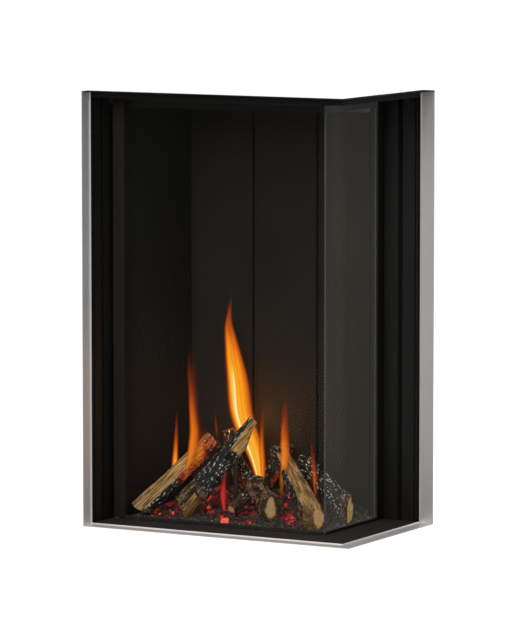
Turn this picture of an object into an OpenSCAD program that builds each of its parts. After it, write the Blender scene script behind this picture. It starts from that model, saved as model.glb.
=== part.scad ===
// Corner gas fire: a tall glass corner in a thin steel trim frame, with a log fire inside.
// Sizes run from the outer front right corner of the trim frame: x to the left is negative,
// y goes back into the wall and z goes up. place() then puts the origin at the middle of the base.

/* [Trim frame] */
// Width of the trim frame's front
trim_w = 620; // [600:1:720]
// Depth of the trim frame's side
trim_d = 375; // [365:1:450]
// Height of the trim frame
trim_h = 900; // [760:1:1100]
// How far the trim strips reach into the recess
trim_depth = 30; // [26:1:36]
// Thickness of the trim strips
trim_t = 1.5; // [1:0.1:2]
// Depth of the slanted lip at the strips' inner edge
trim_lip = 2; // [1.6:0.1:2.6]

/* [Recess] */
// Thickness of the folded steel sheet
sheet = 1.5; // [1:0.1:1.8]
// Height of the folds in the recess columns
fold_rise = 3; // [2:0.1:3.3]
// Shadow gap behind the trim strip
gap_w = 5; // [4:0.5:7]
// Broad raised band of a recess column
band_w = 35; // [28:1:38]
// Groove between the band and the rib
groove_w = 11; // [8:1:13]
// Narrow raised rib of a recess column
rib_w = 9; // [6:1:11]
// Thickness of the base plate
base_t = 2; // [1.5:0.1:3]
// Drop of the soffit below the top of the trim frame
soffit_drop = 14; // [12:1:20]

/* [Glass] */
// Distance of the glass behind the trim's front and side
glass_in = 117; // [114:1:125]
// Thickness of the ceramic glass
glass_t = 4; // [3:0.5:5]
// Slack of the glass in its grooves
glass_slack = 0.1; // [0.05:0.01:0.2]
// Width of the door's hinge stile
stile_w = 27; // [22:1:32]
// How far the stile and rails stand proud of each glass face
rail_proud = 2; // [1.5:0.1:2.5]
// Height of the door's top rail
top_rail_h = 10; // [8:1:12]
// Height of the door's bottom rail
bottom_rail_h = 5; // [5:0.5:8]
// Depth of the glass grooves
groove_d = 4; // [3:0.5:4.5]
// Radius of the door's hinge pins
hinge_r = 2.5; // [2:0.1:2.8]
// Running clearance of the hinge pins
hinge_slack = 0.05; // [0.03:0.01:0.08]
// Gap between the door and the pieces around it
door_gap = 0.5; // [0.3:0.1:0.9]
// Width of the strip that clamps the side glass
retainer_w = 26; // [20:1:30]

/* [Firebox] */
// Thickness of the lining boards
board_t = 12; // [8:1:14]
// Distance from the left edge of the trim to the lining
lining_in = 28; // [26:1:34]
// Distance of the back lining behind the side of the trim
back_in = 26; // [20:1:32]
// Gap between two back boards
board_gap = 1.2; // [0.6:0.1:2]
// Height of the flue slot above the back boards
flue_slot = 16; // [12:1:24]
// Drop of the firebox ceiling below the top of the trim frame
ceiling_drop = 38; // [36:1:48]
// Air gap between the ceiling and the casing's top
ceiling_gap = 2.5; // [2:0.5:4]
// Thickness of the insulation slab
slab_t = 20; // [14:1:20]
// Depth of the casing behind the back boards
casing_in = 34.5; // [32:0.5:40]
// Depth of the flue collector
collector_d = 23; // [21.5:0.5:26]

/* [Burner and fuel bed] */
// Width of the burner tray
tray_w = 280; // [240:1:290]
// Depth of the burner tray
tray_d = 90; // [80:1:92]
// Height of the burner tray
tray_h = 20; // [18:1:22]
// Radius of the burner tubes
burner_r = 8; // [6:0.5:8.5]
// Distance between the two burner tubes
burner_pitch = 44; // [36:1:50]
// Radius of a burner port
port_r = 1.2; // [0.8:0.1:1.5]
// Ports in each burner tube
ports = 12; // [6:1:16]
// Radius of the gas feed pipe
feed_r = 6; // [4:0.5:6]
// Height of the fuel bed at the glass
bed_low = 5; // [4:0.5:6]
// Height of the fuel bed under the logs
bed_mid = 14; // [12:0.5:16]
// Height of the fuel bed over the burner
bed_high = 26; // [25:0.5:30]
// Height of the fuel bed at the back
bed_top = 40; // [36:0.5:42]
// Radius of the pegs that hold the logs
peg_r = 4; // [3:0.5:5]
// Clearance round the pegs
peg_slack = 0.2; // [0.1:0.05:0.4]
// Size of a glowing ember
ember_r = 8; // [5:0.5:9]
// Distance between embers
ember_pitch = 25; // [23:1:34]

/* [Flue] */
// Radius of the inner flue spigot
flue_r = 50; // [40:1:52]
// Radius of the outer air spigot
air_r = 75; // [66:1:78]
// Wall of both spigots
spigot_t = 1; // [0.8:0.1:1.5]
// Drop of the flue axis below the top of the trim frame
flue_drop = 125; // [120:1:140]
// Depth of the wall brackets and spigots behind the casing
standoff = 50; // [50:1:80]
// Height of the flue collector
collector_h = 172; // [168:1:190]
// Travel of the flue restrictor
restrictor_travel = 50; // [20:1:60]
// Width of the relief flap's opening
relief_w = 140; // [100:1:160]
// Depth of the relief flap's opening
relief_d = 90; // [60:1:100]

/* [Controls] */
// Width of the service box
service_w = 220; // [210:1:240]
// Height of the service box
service_h = 220; // [205:1:260]
// Thickness of the service box's sheet
service_t = 1.2; // [1:0.1:1.5]
// Radius of the gas inlet tube
inlet_r = 7.5; // [6:0.5:11]
// Length of the gas inlet tube outside the box
inlet_len = 20; // [15:1:40]
// Radius of the control knob
knob_r = 14; // [10:0.5:16]
// Length of the isolation lever
lever_len = 24; // [18:1:24]
// Width of a wall bracket
bracket_w = 40; // [34:1:50]
// Height of the wall brackets
bracket_h = 360; // [340:1:400]
// Height of the wall brackets' lower end
bracket_z = 280; // [265:1:300]
// Radius of the holes for the wall screws
wall_hole_r = 4.5; // [3:0.5:6]
// Height between the wall screws
wall_hole_pitch = 280; // [200:1:300]

/* [Hidden] */
$fn = 48;

// Trim strip: flat, then a lip slanted at 45 degrees and cut square where it meets the recess
bend = trim_t * tan(22.5);
lip_top = trim_lip + trim_t + bend;
strip_profile = [[0, 0], [trim_depth - trim_lip, 0], [trim_depth, trim_lip],
    [trim_depth, lip_top], [trim_depth - trim_lip - bend, trim_t], [0, trim_t]];
mitre = trim_depth + 1;

// Recess columns, measured inwards from the frame
column_h = fold_rise + sheet;
gap_end = trim_depth + gap_w;
band_end = gap_end + band_w;
groove_end = band_end + groove_w;
rib_end = groove_end + rib_w;
soffit_z = trim_h - soffit_drop;

// Depths behind the front and the side of the frame
rail_in = glass_in - rail_proud;
rail_out = glass_in + glass_t + rail_proud;
header_in = rail_out + 2;
header_out = header_in + sheet;
sill_z = base_t + sheet;

// Door
door_z0 = max(lip_top, sill_z + 0.3) + door_gap;
door_z1 = soffit_z - door_gap;
pane_z0 = door_z0 + 1;
pane_z1 = door_z1 - top_rail_h + groove_d + 2;
stile_in = 6;
stile_x = -trim_w + stile_in;
hinge_from_edge = 6;
hinge_x = stile_x + hinge_from_edge;
hinge_y = glass_in + glass_t / 2;
pin_in_door = 20;
hinge_pad_r = 10;
hinge_pad_t = 3;
seal_gap = 0.3;
seal_t = 0.7;
rail_end_x = -rail_out - door_gap;

// Firebox
lining_x = -trim_w + lining_in;
back_y = trim_d + back_in;
board_back_y = back_y + board_t;
right_lining_x = -glass_in - glass_t - 2 - board_t;
right_lining_y0 = trim_d - retainer_w - 2;
lining_y0 = header_in + 2;
ceiling_z = trim_h - ceiling_drop;
casing_z = ceiling_z + sheet + ceiling_gap;
casing_y = board_back_y + casing_in;
casing_right_x = -trim_depth - 14;
return_w = 12;
screw_r = 1.7;
screw_slack = 0.05;
bracket_right_x = casing_right_x - 81;
panel_w = (right_lining_x - lining_x - 2 * board_gap) / 3;
side_post_h = 13;
side_post_in = glass_in + sheet;

// Burner and bed
tray_x0 = lining_x + 62;
tray_x1 = tray_x0 + tray_w;
tray_y1 = back_y - 11;
tray_y0 = tray_y1 - tray_d;
tray_z1 = base_t + tray_h;
burner_z = base_t + sheet + burner_r;
burner_y = tray_y1 - tray_d / 2;
feed_x = tray_x0 + 30;
bed_x1 = -rail_out - 1.5;
bed_y0 = rail_out + 1.5;
bed_gap = 0.3;
bed_w = bed_x1 - lining_x;
bed_d = back_y - bed_y0;
pilot_x = tray_x1 + 12;
pilot_y = back_y - 22;
pilot_w = 22;
pilot_d = 14;
pilot_shelf = 40;
pilot_room = 6;

// Fuel bed terraces: height, left edge, right edge and front edge
terraces = [
    [bed_low, lining_x, bed_x1, bed_y0],
    [bed_mid, lining_x + 0.05 * bed_w, bed_x1 - 0.137 * bed_w, bed_y0 + 0.24 * bed_d],
    [bed_high, lining_x + 0.08 * bed_w, bed_x1 - 0.214 * bed_w, tray_y0 - 8],
    [bed_top, lining_x + 0.115 * bed_w, bed_x1 - 0.267 * bed_w, tray_y0 + 18]];

// The log set is cast to suit its bed: log_fit is 1 on the bed that its sizes are drawn for
log_bed = [467.5, 276.5];
log_fit = min(bed_w / log_bed[0], bed_d / log_bed[1]);
// Ends of a log are given as shares of the bed's width and depth, and a height above its terrace
function in_bed(p, level) =
    [lining_x + p[0] * bed_w, bed_y0 + p[1] * bed_d, level + p[2] * log_fit];
function laid(l) = [in_bed(l[0], l[4]), in_bed(l[1], l[4]), l[2] * log_fit, l[3] * log_fit,
    l[4], l[5], l[6], l[7]];
// Logs: foot, tip, radius at the foot, radius at the tip, height of the bed under the foot,
// share of the length at which a peg holds the log, a number that varies the bark, and how
// far the sawn foot turns from square to the log (0) to upright (1)
logs = [for (l = [
    [[0.051, 0.094, 18], [0.289, 0.499, 157], 25, 22, bed_low, 0.75, 1, 0.2],
    [[0.26, 0.109, 20], [0.504, 0.499, 199], 30, 20, bed_low, 0.72, 2, 0.3],
    [[0.657, 0.258, 22], [0.388, 0.63, 98], 29, 22, bed_mid, 0.72, 3, 0.9],
    [[0.924, 0.085, 27], [0.555, 0.68, 136], 28, 21, bed_low, 0.42, 4, 1],
    [[0.966, 0.533, 26], [0.636, 0.824, 106], 28, 23, bed_low, 0.45, 5, 1]]) laid(l)];
stubs = [for (l = [
    [[0.324, 0.834, 3], [0.268, 0.779, 131], 19, 17, bed_top, 0, 6, 0],
    [[0.418, 0.859, 10], [0.547, 0.866, 107], 20, 17, bed_top, 0, 7, 0]]) laid(l)];
ember_edge = 15;
ember_clear = 23;
log_sides = 12;
log_rings = 8;

// Flue and relief
flue_x = (lining_x + right_lining_x) / 2;
flue_z = trim_h - flue_drop;
collector_y = board_back_y + collector_d;
collector_z = ceiling_z - collector_h;
restrictor_w = 86;
restrictor_x = flue_x - flue_r - restrictor_w;
restrictor_y = collector_y - sheet - 3;
rail_h = 8;
relief_x = flue_x;
relief_y = header_out + 118.5;
relief_lap = 10;
relief_gap = 0.3;
relief_pin_r = 2;
relief_pin_slack = 0.05;
relief_lug_x = relief_w / 2 + relief_lap + 3;
relief_lug_t = 4;
relief_pin_y = relief_y + relief_d / 2 + relief_lap + 7;
relief_pin_z = casing_z + sheet + 4.5;
knuckle_r = 3.6;

// Controls
overall_d = casing_y + sheet + standoff;
rear_y = casing_y + sheet;
service_x1 = -trim_w + service_w;
service_x0 = -trim_w + service_t;
valve_x0 = service_x0 + 89;
valve_x1 = valve_x0 + 60;
valve_y0 = rear_y + 8;
valve_y1 = rear_y + 44;
valve_h = 60;
spindle_r = 3;
spindle_slack = 0.05;
spindle_y = rear_y + 27;
spindle_z = 40;
spindle_len = 12;
tap_x = valve_x1 + 30;
tap_z = 31.5;
tap_half = 15;
tap_body = 12;
tap_stem_r = 4;
lever_z = tap_z + tap_body + 2;
service_pin_r = 1.5;
service_pin_in = 3.5;
service_pin_x = -trim_w + service_pin_in;
service_pin_y = overall_d - 5.5;
service_door_y1 = service_pin_y + 1.8;
service_door_t = 0.9;

module place() translate([trim_w / 2, -overall_d / 2, 0]) children();
module along_x(len) rotate([90, 0, 90]) linear_extrude(len) children();
module along_y(len) translate([0, len, 0]) rotate([90, 0, 0]) linear_extrude(len) children();
module pin_y(r, len) rotate([-90, 0, 0]) cylinder(r = r, h = len);
module pin_x(r, len) rotate([0, 90, 0]) cylinder(r = r, h = len);
module box(lo, hi) translate(lo) cube(hi - lo);
module upside_down(top) {
    if (top) translate([0, 0, trim_h]) mirror([0, 0, 1]) children();
    else children();
}

// ---- Trim frame ----

module front_bar(top) upside_down(top) intersection() {
    translate([-trim_w, 0, 0]) along_x(trim_w) polygon(strip_profile);
    along_y(mitre) polygon([[-trim_w, 0], [0, 0], [0, mitre], [mitre - trim_w, mitre]]);
    translate([0, 0, -1]) linear_extrude(mitre)
        polygon([[-trim_w, 0], [0, 0], [-mitre, mitre], [-trim_w, mitre]]);
}

module side_bar(top) upside_down(top) intersection() {
    along_y(trim_d) polygon([for (p = strip_profile) [-p[0], p[1]]]);
    translate([-mitre, 0, 0]) along_x(mitre)
        polygon([[0, 0], [trim_d, 0], [trim_d - mitre, mitre], [0, mitre]]);
    translate([0, 0, -1]) linear_extrude(mitre)
        polygon([[0, 0], [0, trim_d], [-mitre, trim_d], [-mitre, mitre]]);
}

module trim_left() color("silver") place() intersection() {
    linear_extrude(trim_h) polygon([for (p = strip_profile) [p[1] - trim_w, p[0]]]);
    translate([-trim_w, 0, 0]) along_y(mitre)
        polygon([[0, 0], [mitre, mitre], [mitre, trim_h - mitre], [0, trim_h]]);
}

module trim_right() color("silver") place() intersection() {
    linear_extrude(trim_h) polygon([for (p = strip_profile) [-p[0], trim_d - p[1]]]);
    translate([-mitre, trim_d - mitre, 0]) along_x(mitre)
        polygon([[mitre, 0], [0, mitre], [0, trim_h - mitre], [mitre, trim_h]]);
}

module trim_bottom_front() color("silver") place() front_bar(false);
module trim_bottom_side() color("silver") place() side_bar(false);
module trim_top_front() color("dimgray") place() front_bar(true);
module trim_top_side() color("dimgray") place() side_bar(true);

// ---- Recess ----

// Section of a folded column: the depth into the recess runs right, the folds rise upwards
module column_section(depth) union() {
    for (f = [[trim_depth, gap_end], [band_end, groove_end], [rib_end, depth]])
        translate([f[0], 0]) square([f[1] - f[0], sheet]);
    for (f = [[gap_end, band_end], [groove_end, rib_end]])
        translate([f[0], fold_rise]) square([f[1] - f[0], sheet]);
    for (s = [trim_depth, gap_end, band_end - sheet, groove_end, rib_end - sheet])
        translate([s, 0]) square([sheet, column_h]);
}

module reveal_left() color("#1c1c1c") place() translate([-trim_w, 0, base_t])
    linear_extrude(soffit_z - base_t) mirror([1, -1]) column_section(header_in);

module reveal_right() color("#1c1c1c") place() translate([0, trim_d, 0]) union() {
    translate([0, 0, base_t]) linear_extrude(soffit_z - base_t) rotate(180)
        column_section(side_post_in + sheet);
    box([-side_post_in - sheet, -side_post_h, sill_z], [-side_post_in, 0, soffit_z]);
}

module sill_plate() color("#202020") place() difference() {
    translate([0, 0, base_t]) linear_extrude(sheet) polygon([
        [-trim_w + column_h, trim_depth], [-trim_depth, trim_depth],
        [-trim_depth, trim_d - column_h], [-side_post_in, trim_d - column_h],
        [-side_post_in, rail_out], [-trim_w + column_h, rail_out]]);
    translate([hinge_x, hinge_y, 0]) cylinder(r = hinge_r + hinge_slack, h = sill_z + 1);
}

module corner_plate(z, t, outer, inner, x0, y1) translate([0, 0, z]) linear_extrude(t)
    polygon([[x0, outer], [-outer, outer], [-outer, y1], [-inner, y1], [-inner, inner],
        [x0, inner]]);

module soffit_plate() color("#1a1a1a") place() difference() {
    union() {
        corner_plate(soffit_z, sheet, trim_depth, header_out, -trim_w, trim_d);
        corner_plate(soffit_z, trim_h - lip_top + 1.2 - soffit_z, trim_depth,
            trim_depth + sheet, -trim_w + sheet, trim_d - sheet);
        corner_plate(ceiling_z, soffit_z - ceiling_z, header_in, header_out,
            hinge_x + hinge_pad_r, trim_d - sheet);
        translate([hinge_x, hinge_y, soffit_z])
            cylinder(r = hinge_pad_r, h = sheet + hinge_pad_t);
    }
    translate([hinge_x, hinge_y, soffit_z - 1])
        cylinder(r = hinge_r + hinge_slack, h = sheet + hinge_pad_t + 2);
}

// ---- Casing ----

function casing_outline(front) = [[-trim_w, front], [-front, front], [-front, trim_d],
    [casing_right_x, trim_d], [casing_right_x, rear_y], [-trim_w, rear_y]];

module base_plate() color("dimgray") place()
    linear_extrude(base_t) polygon(casing_outline(trim_depth));

module casing_left() color("slategray") place() difference() {
    union() {
        box([-trim_w, header_in, base_t], [sheet - trim_w, casing_y, casing_z]);
        box([-trim_w, casing_y - sheet, base_t], [return_w - trim_w, casing_y, casing_z]);
    }
    casing_screw_places() translate([0, -2 * sheet, 0])
        pin_y(screw_r + screw_slack, 3 * sheet);
}

module casing_right() color("slategray") place() difference() {
    union() {
        box([casing_right_x - sheet, trim_d, base_t], [casing_right_x, casing_y, casing_z]);
        box([casing_right_x - return_w, casing_y - sheet, base_t],
            [casing_right_x, casing_y, casing_z]);
    }
    casing_screw_places() translate([0, -2 * sheet, 0])
        pin_y(screw_r + screw_slack, 3 * sheet);
}

module casing_back() color("slategray") place() difference() {
    box([-trim_w, casing_y, base_t], [casing_right_x, rear_y, casing_z]);
    translate([flue_x, casing_y - 1, flue_z]) pin_y(air_r - spigot_t, sheet + 2);
    translate([feed_x, casing_y - 1, burner_z]) pin_y(feed_r + 0.3, sheet + 2);
    casing_screw_places() translate([0, -1, 0]) pin_y(screw_r + screw_slack, sheet + 2);
}

module casing_top() color("slategray") place() union() {
    difference() {
        translate([0, 0, casing_z]) linear_extrude(sheet) polygon(casing_outline(header_out));
        relief_opening(casing_z - 1, sheet + 2);
    }
    for (s = [-1, 1]) difference() {
        translate([relief_x + s * relief_lug_x - relief_lug_t / 2, relief_pin_y - 4,
            casing_z + sheet]) cube([relief_lug_t, 8, relief_pin_z - casing_z - sheet + 3.5]);
        translate([relief_x - relief_w, relief_pin_y, relief_pin_z])
            pin_x(relief_pin_r + relief_pin_slack, 2 * relief_w);
    }
}

module relief_opening(z, h) translate([relief_x - relief_w / 2, relief_y - relief_d / 2, z])
    cube([relief_w, relief_d, h]);

// Places of the screws that hold the back of the casing to its sides
module casing_screw_places() for (x = [return_w / 2 + sheet / 2 - trim_w,
        casing_right_x - return_w / 2 - sheet / 2], k = [0.16, 0.4, 0.64, 0.88])
    translate([x, casing_y, k * casing_z]) children();

module casing_screws() color("silver") place() casing_screw_places() union() {
    translate([0, sheet, 0]) pin_y(2 * screw_r, screw_r);
    translate([0, -3 * sheet, 0]) pin_y(screw_r, 4 * sheet + 0.5);
}

// ---- Firebox ----

module left_liner() color("#262422") place()
    box([lining_x - board_t, lining_y0, base_t], [lining_x, board_back_y, ceiling_z]);

module right_liner() color("#262422") place()
    box([right_lining_x, right_lining_y0, base_t],
        [right_lining_x + board_t, board_back_y, ceiling_z]);

module back_panel(n) translate([lining_x + n * (panel_w + board_gap), back_y, base_t])
    difference() {
        cube([panel_w, board_t, ceiling_z - flue_slot - base_t]);
        translate([feed_x - lining_x - n * (panel_w + board_gap), -1, burner_z - base_t])
            pin_y(feed_r + 0.3, board_t + 2);
    }

module back_panel_left() color("#262422") place() back_panel(0);
module back_panel_middle() color("#262422") place() back_panel(1);
module back_panel_right() color("#262422") place() back_panel(2);

module firebox_ceiling() color("#1c1c1c") place() difference() {
    translate([0, 0, ceiling_z]) linear_extrude(sheet) polygon([
        [lining_x - board_t, header_out], [-header_out, header_out],
        [-header_out, collector_y], [lining_x - board_t, collector_y]]);
    relief_opening(ceiling_z - 1, sheet + 2);
}

module back_insulation() color("wheat") place() difference() {
    box([lining_x, board_back_y, base_t], [right_lining_x, board_back_y + slab_t,
        collector_z - 10]);
    translate([feed_x, board_back_y - 1, burner_z]) pin_y(feed_r + 0.3, slab_t + 2);
}

// ---- Flue ----

module flue_collector() color("gainsboro") place() union() {
    difference() {
        box([lining_x, board_back_y, collector_z], [right_lining_x, collector_y, ceiling_z]);
        box([lining_x + sheet, board_back_y - 1, collector_z + sheet],
            [right_lining_x - sheet, collector_y - sheet, ceiling_z + 1]);
        translate([flue_x, board_back_y, flue_z])
            pin_y(flue_r - spigot_t, collector_y - board_back_y + 1);
    }
    for (s = [-1, 1]) difference() {
        translate([restrictor_x - 4, restrictor_y - 1.5, flue_z + s * (flue_r + 8 + rail_h / 2)
            - rail_h / 2]) cube([restrictor_w + restrictor_travel + 8, 4.5, rail_h]);
        restrictor_plate(0.15, restrictor_travel + 4);
    }
}

module restrictor_plate(slack, extra) translate([restrictor_x - slack - (extra > 0 ? 4 : 0),
        restrictor_y - slack, flue_z - flue_r - 12 - slack])
    cube([restrictor_w + extra + 2 * slack + (extra > 0 ? 4 : 0), sheet + 2 * slack,
        2 * (flue_r + 12 + slack)]);

module flue_restrictor() color("gainsboro") place() union() {
    restrictor_plate(0, 0);
    translate([restrictor_x + restrictor_w / 2 - 10, restrictor_y - 8, flue_z])
        cube([20, 8, sheet]);
}

module tube_y(r, t, len) difference() {
    pin_y(r, len);
    translate([0, -1, 0]) pin_y(r - t, len + 2);
}

module flue_inner_spigot() color("gainsboro") place()
    translate([flue_x, collector_y, flue_z]) union() {
        tube_y(flue_r, spigot_t, overall_d - collector_y);
        tube_y(flue_r + 8, 8 + spigot_t, 1);
    }

module flue_outer_spigot() color("gainsboro") place()
    translate([flue_x, rear_y, flue_z]) union() {
        tube_y(air_r, spigot_t, standoff);
        tube_y(air_r + 10, 10 + spigot_t, sheet);
    }

// ---- Relief flap ----

module relief_flap() color("slategray") place() union() {
    translate([relief_x - relief_w / 2 - relief_lap, relief_y - relief_d / 2 - relief_lap,
            casing_z + sheet + relief_gap])
        cube([relief_w + 2 * relief_lap, relief_pin_y - relief_y + relief_d / 2 + relief_lap,
            sheet]);
    for (s = [-1, 1]) translate([relief_x + s * relief_w / 3 - 15, relief_pin_y, relief_pin_z])
        difference() {
            union() {
                pin_x(knuckle_r, 30);
                translate([0, -knuckle_r, relief_gap + casing_z + sheet - relief_pin_z])
                    cube([30, knuckle_r, relief_pin_z - casing_z - sheet - relief_gap]);
            }
            translate([-1, 0, 0]) pin_x(relief_pin_r + relief_pin_slack, 32);
        }
}

module relief_pin() color("silver") place()
    translate([relief_x - relief_lug_x - 4, relief_pin_y, relief_pin_z])
        pin_x(relief_pin_r, 2 * relief_lug_x + 8);

// ---- Glass door ----

module pane_groove() box([-trim_w, glass_in - glass_slack, pane_z0 - glass_slack],
    [-glass_in, glass_in + glass_t + glass_slack, pane_z1 + glass_slack]);

module door_glass() color("#88999988") place()
    box([stile_x + stile_w - groove_d * 2, glass_in, pane_z0],
        [-glass_in, glass_in + glass_t, pane_z1]);

module door_stile() color("#2a2a2a") place() difference() {
    box([stile_x, rail_in, door_z0], [stile_x + stile_w, rail_out, door_z1]);
    box([stile_x + stile_w - groove_d * 2 - glass_slack, glass_in - glass_slack,
        pane_z0 - glass_slack], [0, glass_in + glass_t + glass_slack, pane_z1 + glass_slack]);
    for (z = [door_z0 - 1, door_z1 - pin_in_door]) translate([hinge_x, hinge_y, z])
        cylinder(r = hinge_r + hinge_slack, h = pin_in_door + 1);
}

module door_top_rail() color("#202020") place() difference() {
    box([stile_x + stile_w, rail_in, door_z1 - top_rail_h], [rail_end_x, rail_out, door_z1]);
    pane_groove();
}

module door_bottom_rail() color("#202020") place() difference() {
    box([stile_x + stile_w, rail_in, door_z0], [rail_end_x, rail_out,
        door_z0 + bottom_rail_h]);
    pane_groove();
}

// Soft seal on the back of the door, clear of the lining and the header
module door_gasket() color("dimgray") place() union() {
    box([hinge_x + 8, rail_out, door_z0 + 3], [hinge_x + 14, lining_y0 - seal_gap,
        ceiling_z - 2]);
    box([hinge_x + 8, rail_out, door_z1 - top_rail_h + 1],
        [-200, header_in - seal_gap, door_z1 - 1]);
}

module door_hinge_pins() color("silver") place() translate([hinge_x, hinge_y, 0]) union() {
    translate([0, 0, base_t]) cylinder(r = hinge_r, h = door_z0 + pin_in_door - 1 - base_t);
    translate([0, 0, sill_z]) cylinder(r = 5, h = door_z0 - sill_z - 0.1);
    translate([0, 0, door_z1 - pin_in_door + 1])
        cylinder(r = hinge_r, h = pin_in_door - 1 + door_gap + sheet + hinge_pad_t + 1);
    translate([0, 0, soffit_z + sheet + hinge_pad_t])
        cylinder(r = 2 * hinge_r, h = hinge_r);
}

module door_magnets() color("#111111") place() for (x = [-190, -150])
    box([x, rail_out + 0.2, door_z1 - top_rail_h + 1], [x + 24, header_in, door_z1 - 2]);

// ---- Side glass ----

module side_glass() color("#88999988") place()
    box([-glass_in - glass_t, glass_in + glass_t + seal_gap + seal_t, pane_z0],
        [-glass_in, trim_d - side_post_h - 1, pane_z1]);

module side_glass_seals() color("#333333") place() union() {
    box([-glass_in - glass_t, glass_in + glass_t + seal_gap, pane_z0],
        [-glass_in - 0.5, glass_in + glass_t + seal_gap + seal_t, pane_z1]);
    box([-rail_out, trim_d - sheet - retainer_w, door_z0 + bottom_rail_h],
        [-glass_in - glass_t, trim_d - side_post_h - 1, ceiling_z - 2]);
}

module side_glass_retainer() color("#2a2a2a") place() translate([0, trim_d, sill_z])
    linear_extrude(soffit_z - sill_z) polygon([
        [2 - glass_in, -sheet], [2 - glass_in, -sheet - retainer_w],
        [-glass_in, -sheet - retainer_w], [-glass_in, -side_post_h - 1],
        [-side_post_in, -side_post_h - 1], [-side_post_in, -sheet]]);

module side_glass_channels() color("#202020") place() difference() {
    for (z = [[sill_z, sill_z + bottom_rail_h], [soffit_z - top_rail_h + 2, soffit_z]])
        box([-rail_out, rail_out + 1, z[0]],
            [2 - glass_in, trim_d - sheet - retainer_w - 0.2, z[1]]);
    box([-glass_in - glass_t - glass_slack, 0, pane_z0],
        [-glass_in + glass_slack, trim_d, pane_z1]);
}

// ---- Burner ----

module burner_tray() color("#3a3a3a") place() difference() {
    box([tray_x0, tray_y0, base_t], [tray_x1, tray_y1, tray_z1]);
    box([tray_x0 + sheet, tray_y0 + sheet, base_t + sheet],
        [tray_x1 - sheet, tray_y1 - sheet, tray_z1 + 1]);
    translate([feed_x, tray_y1 - sheet - 1, burner_z]) pin_y(feed_r + 0.3, sheet + 2);
}

module burner_tubes() color("silver") place() translate([0, burner_y, burner_z])
    difference() {
        union() {
            for (s = [-1, 1]) translate([tray_x0 + 12, s * burner_pitch / 2, 0])
                pin_x(burner_r, tray_w - 24);
            translate([feed_x, -burner_pitch / 2, 0]) pin_y(burner_r - 1, burner_pitch);
        }
        for (s = [-1, 1]) translate([tray_x0 + 14, s * burner_pitch / 2, 0])
            pin_x(burner_r - 1, tray_w - 28);
        translate([feed_x, -burner_pitch / 2, 0]) pin_y(burner_r - 2, burner_pitch);
        for (s = [-1, 1], i = [1 : ports])
            translate([tray_x0 + 12 + i * (tray_w - 24) / (ports + 1), s * burner_pitch / 2, 0])
                cylinder(r = port_r, h = burner_r + 2);
        translate([feed_x, burner_pitch / 2, 0]) pin_y(feed_r - 1.5, burner_r + 1);
    }

// The pipe ends in a saddle round the rear burner tube
module gas_feed_pipe() color("goldenrod") place() difference() {
    translate([feed_x, burner_y + burner_pitch / 2, burner_z])
        tube_y(feed_r, 1, valve_y0 - burner_y - burner_pitch / 2);
    translate([tray_x0, burner_y + burner_pitch / 2, burner_z]) pin_x(burner_r, tray_w);
}

// Post with a shelf that holds the pilot's hood, the electrode and the thermocouple
module pilot_burner() color("silver") place() translate([pilot_x, pilot_y, base_t]) union() {
    cube([pilot_w, 2, 52]);
    translate([0, -pilot_d, pilot_shelf]) cube([pilot_w, pilot_d, 2]);
    translate([6, -7, pilot_shelf + 2]) cylinder(r = 4, h = 16);
    translate([14, -5, pilot_shelf - 6]) cylinder(r = 1.5, h = 30);
    translate([19, -9, pilot_shelf - 6]) cylinder(r = 1.2, h = 26);
}

// ---- Fuel bed ----

module ember_bed() color("#3d3b38") place() difference() {
    union() for (t = terraces) box([t[1], t[3], base_t], [t[2], back_y, t[0]]);
    box([tray_x0, tray_y0, base_t - 1], [tray_x1, tray_y1, tray_z1]);
    box([right_lining_x - bed_gap, right_lining_y0 - bed_gap, 0], [0, back_y + 1, bed_top]);
    box([pilot_x - pilot_room, pilot_y - pilot_d - pilot_room, base_t - 1],
        [pilot_x + pilot_w + pilot_room, pilot_y + 2 + pilot_room, bed_top + 1]);
    translate([feed_x, tray_y1 - 1, burner_z]) pin_y(feed_r + 0.3, back_y - tray_y1 + 2);
    for (l = logs) translate([peg_xy(l)[0], peg_xy(l)[1], base_t - 1])
        cylinder(r = peg_r + peg_slack, h = bed_top);
}

function along(l, t) = l[0] + (l[1] - l[0]) * t;
function peg_xy(l) = along(l, l[5]);
function peg_z(l) = along(l, l[5])[2] + 2;

module log_pegs() color("silver") place() for (l = logs)
    translate([peg_xy(l)[0], peg_xy(l)[1], base_t]) cylinder(r = peg_r, h = peg_z(l) - base_t);

// ---- Logs ----

// Two directions square to the log's axis
function unit(v) = v / norm(v);
function side_of(l) = unit(cross([0, 0, 1], l[1] - l[0]));
function up_of(l) = unit(cross(l[1] - l[0], side_of(l)));
// Radius of the bark round the log, uneven but always the same
function bark(i, j, n) = 0.93 + 0.05 * sin(i * 95 + j * 40 + n * 67) + 0.02 * cos(j * 163 * n);
// How much a foot sawn upright runs on under the log, for each millimetre below its axis
function foot_slope(l) = let (run = l[1] - l[0]) run[2] / norm([run[0], run[1]]);
function log_point(l, i, j) = let (
        t = i / (log_rings - 1),
        r = (l[2] + (l[3] - l[2]) * t) * bark(i, j, l[6]),
        a = j * 360 / log_sides,
        sawn = i == 0 ? l[7] * foot_slope(l) * sin(a) * r : 0)
    along(l, t) + (side_of(l) * cos(a) + up_of(l) * sin(a)) * r + unit(l[1] - l[0]) * sawn;

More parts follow.
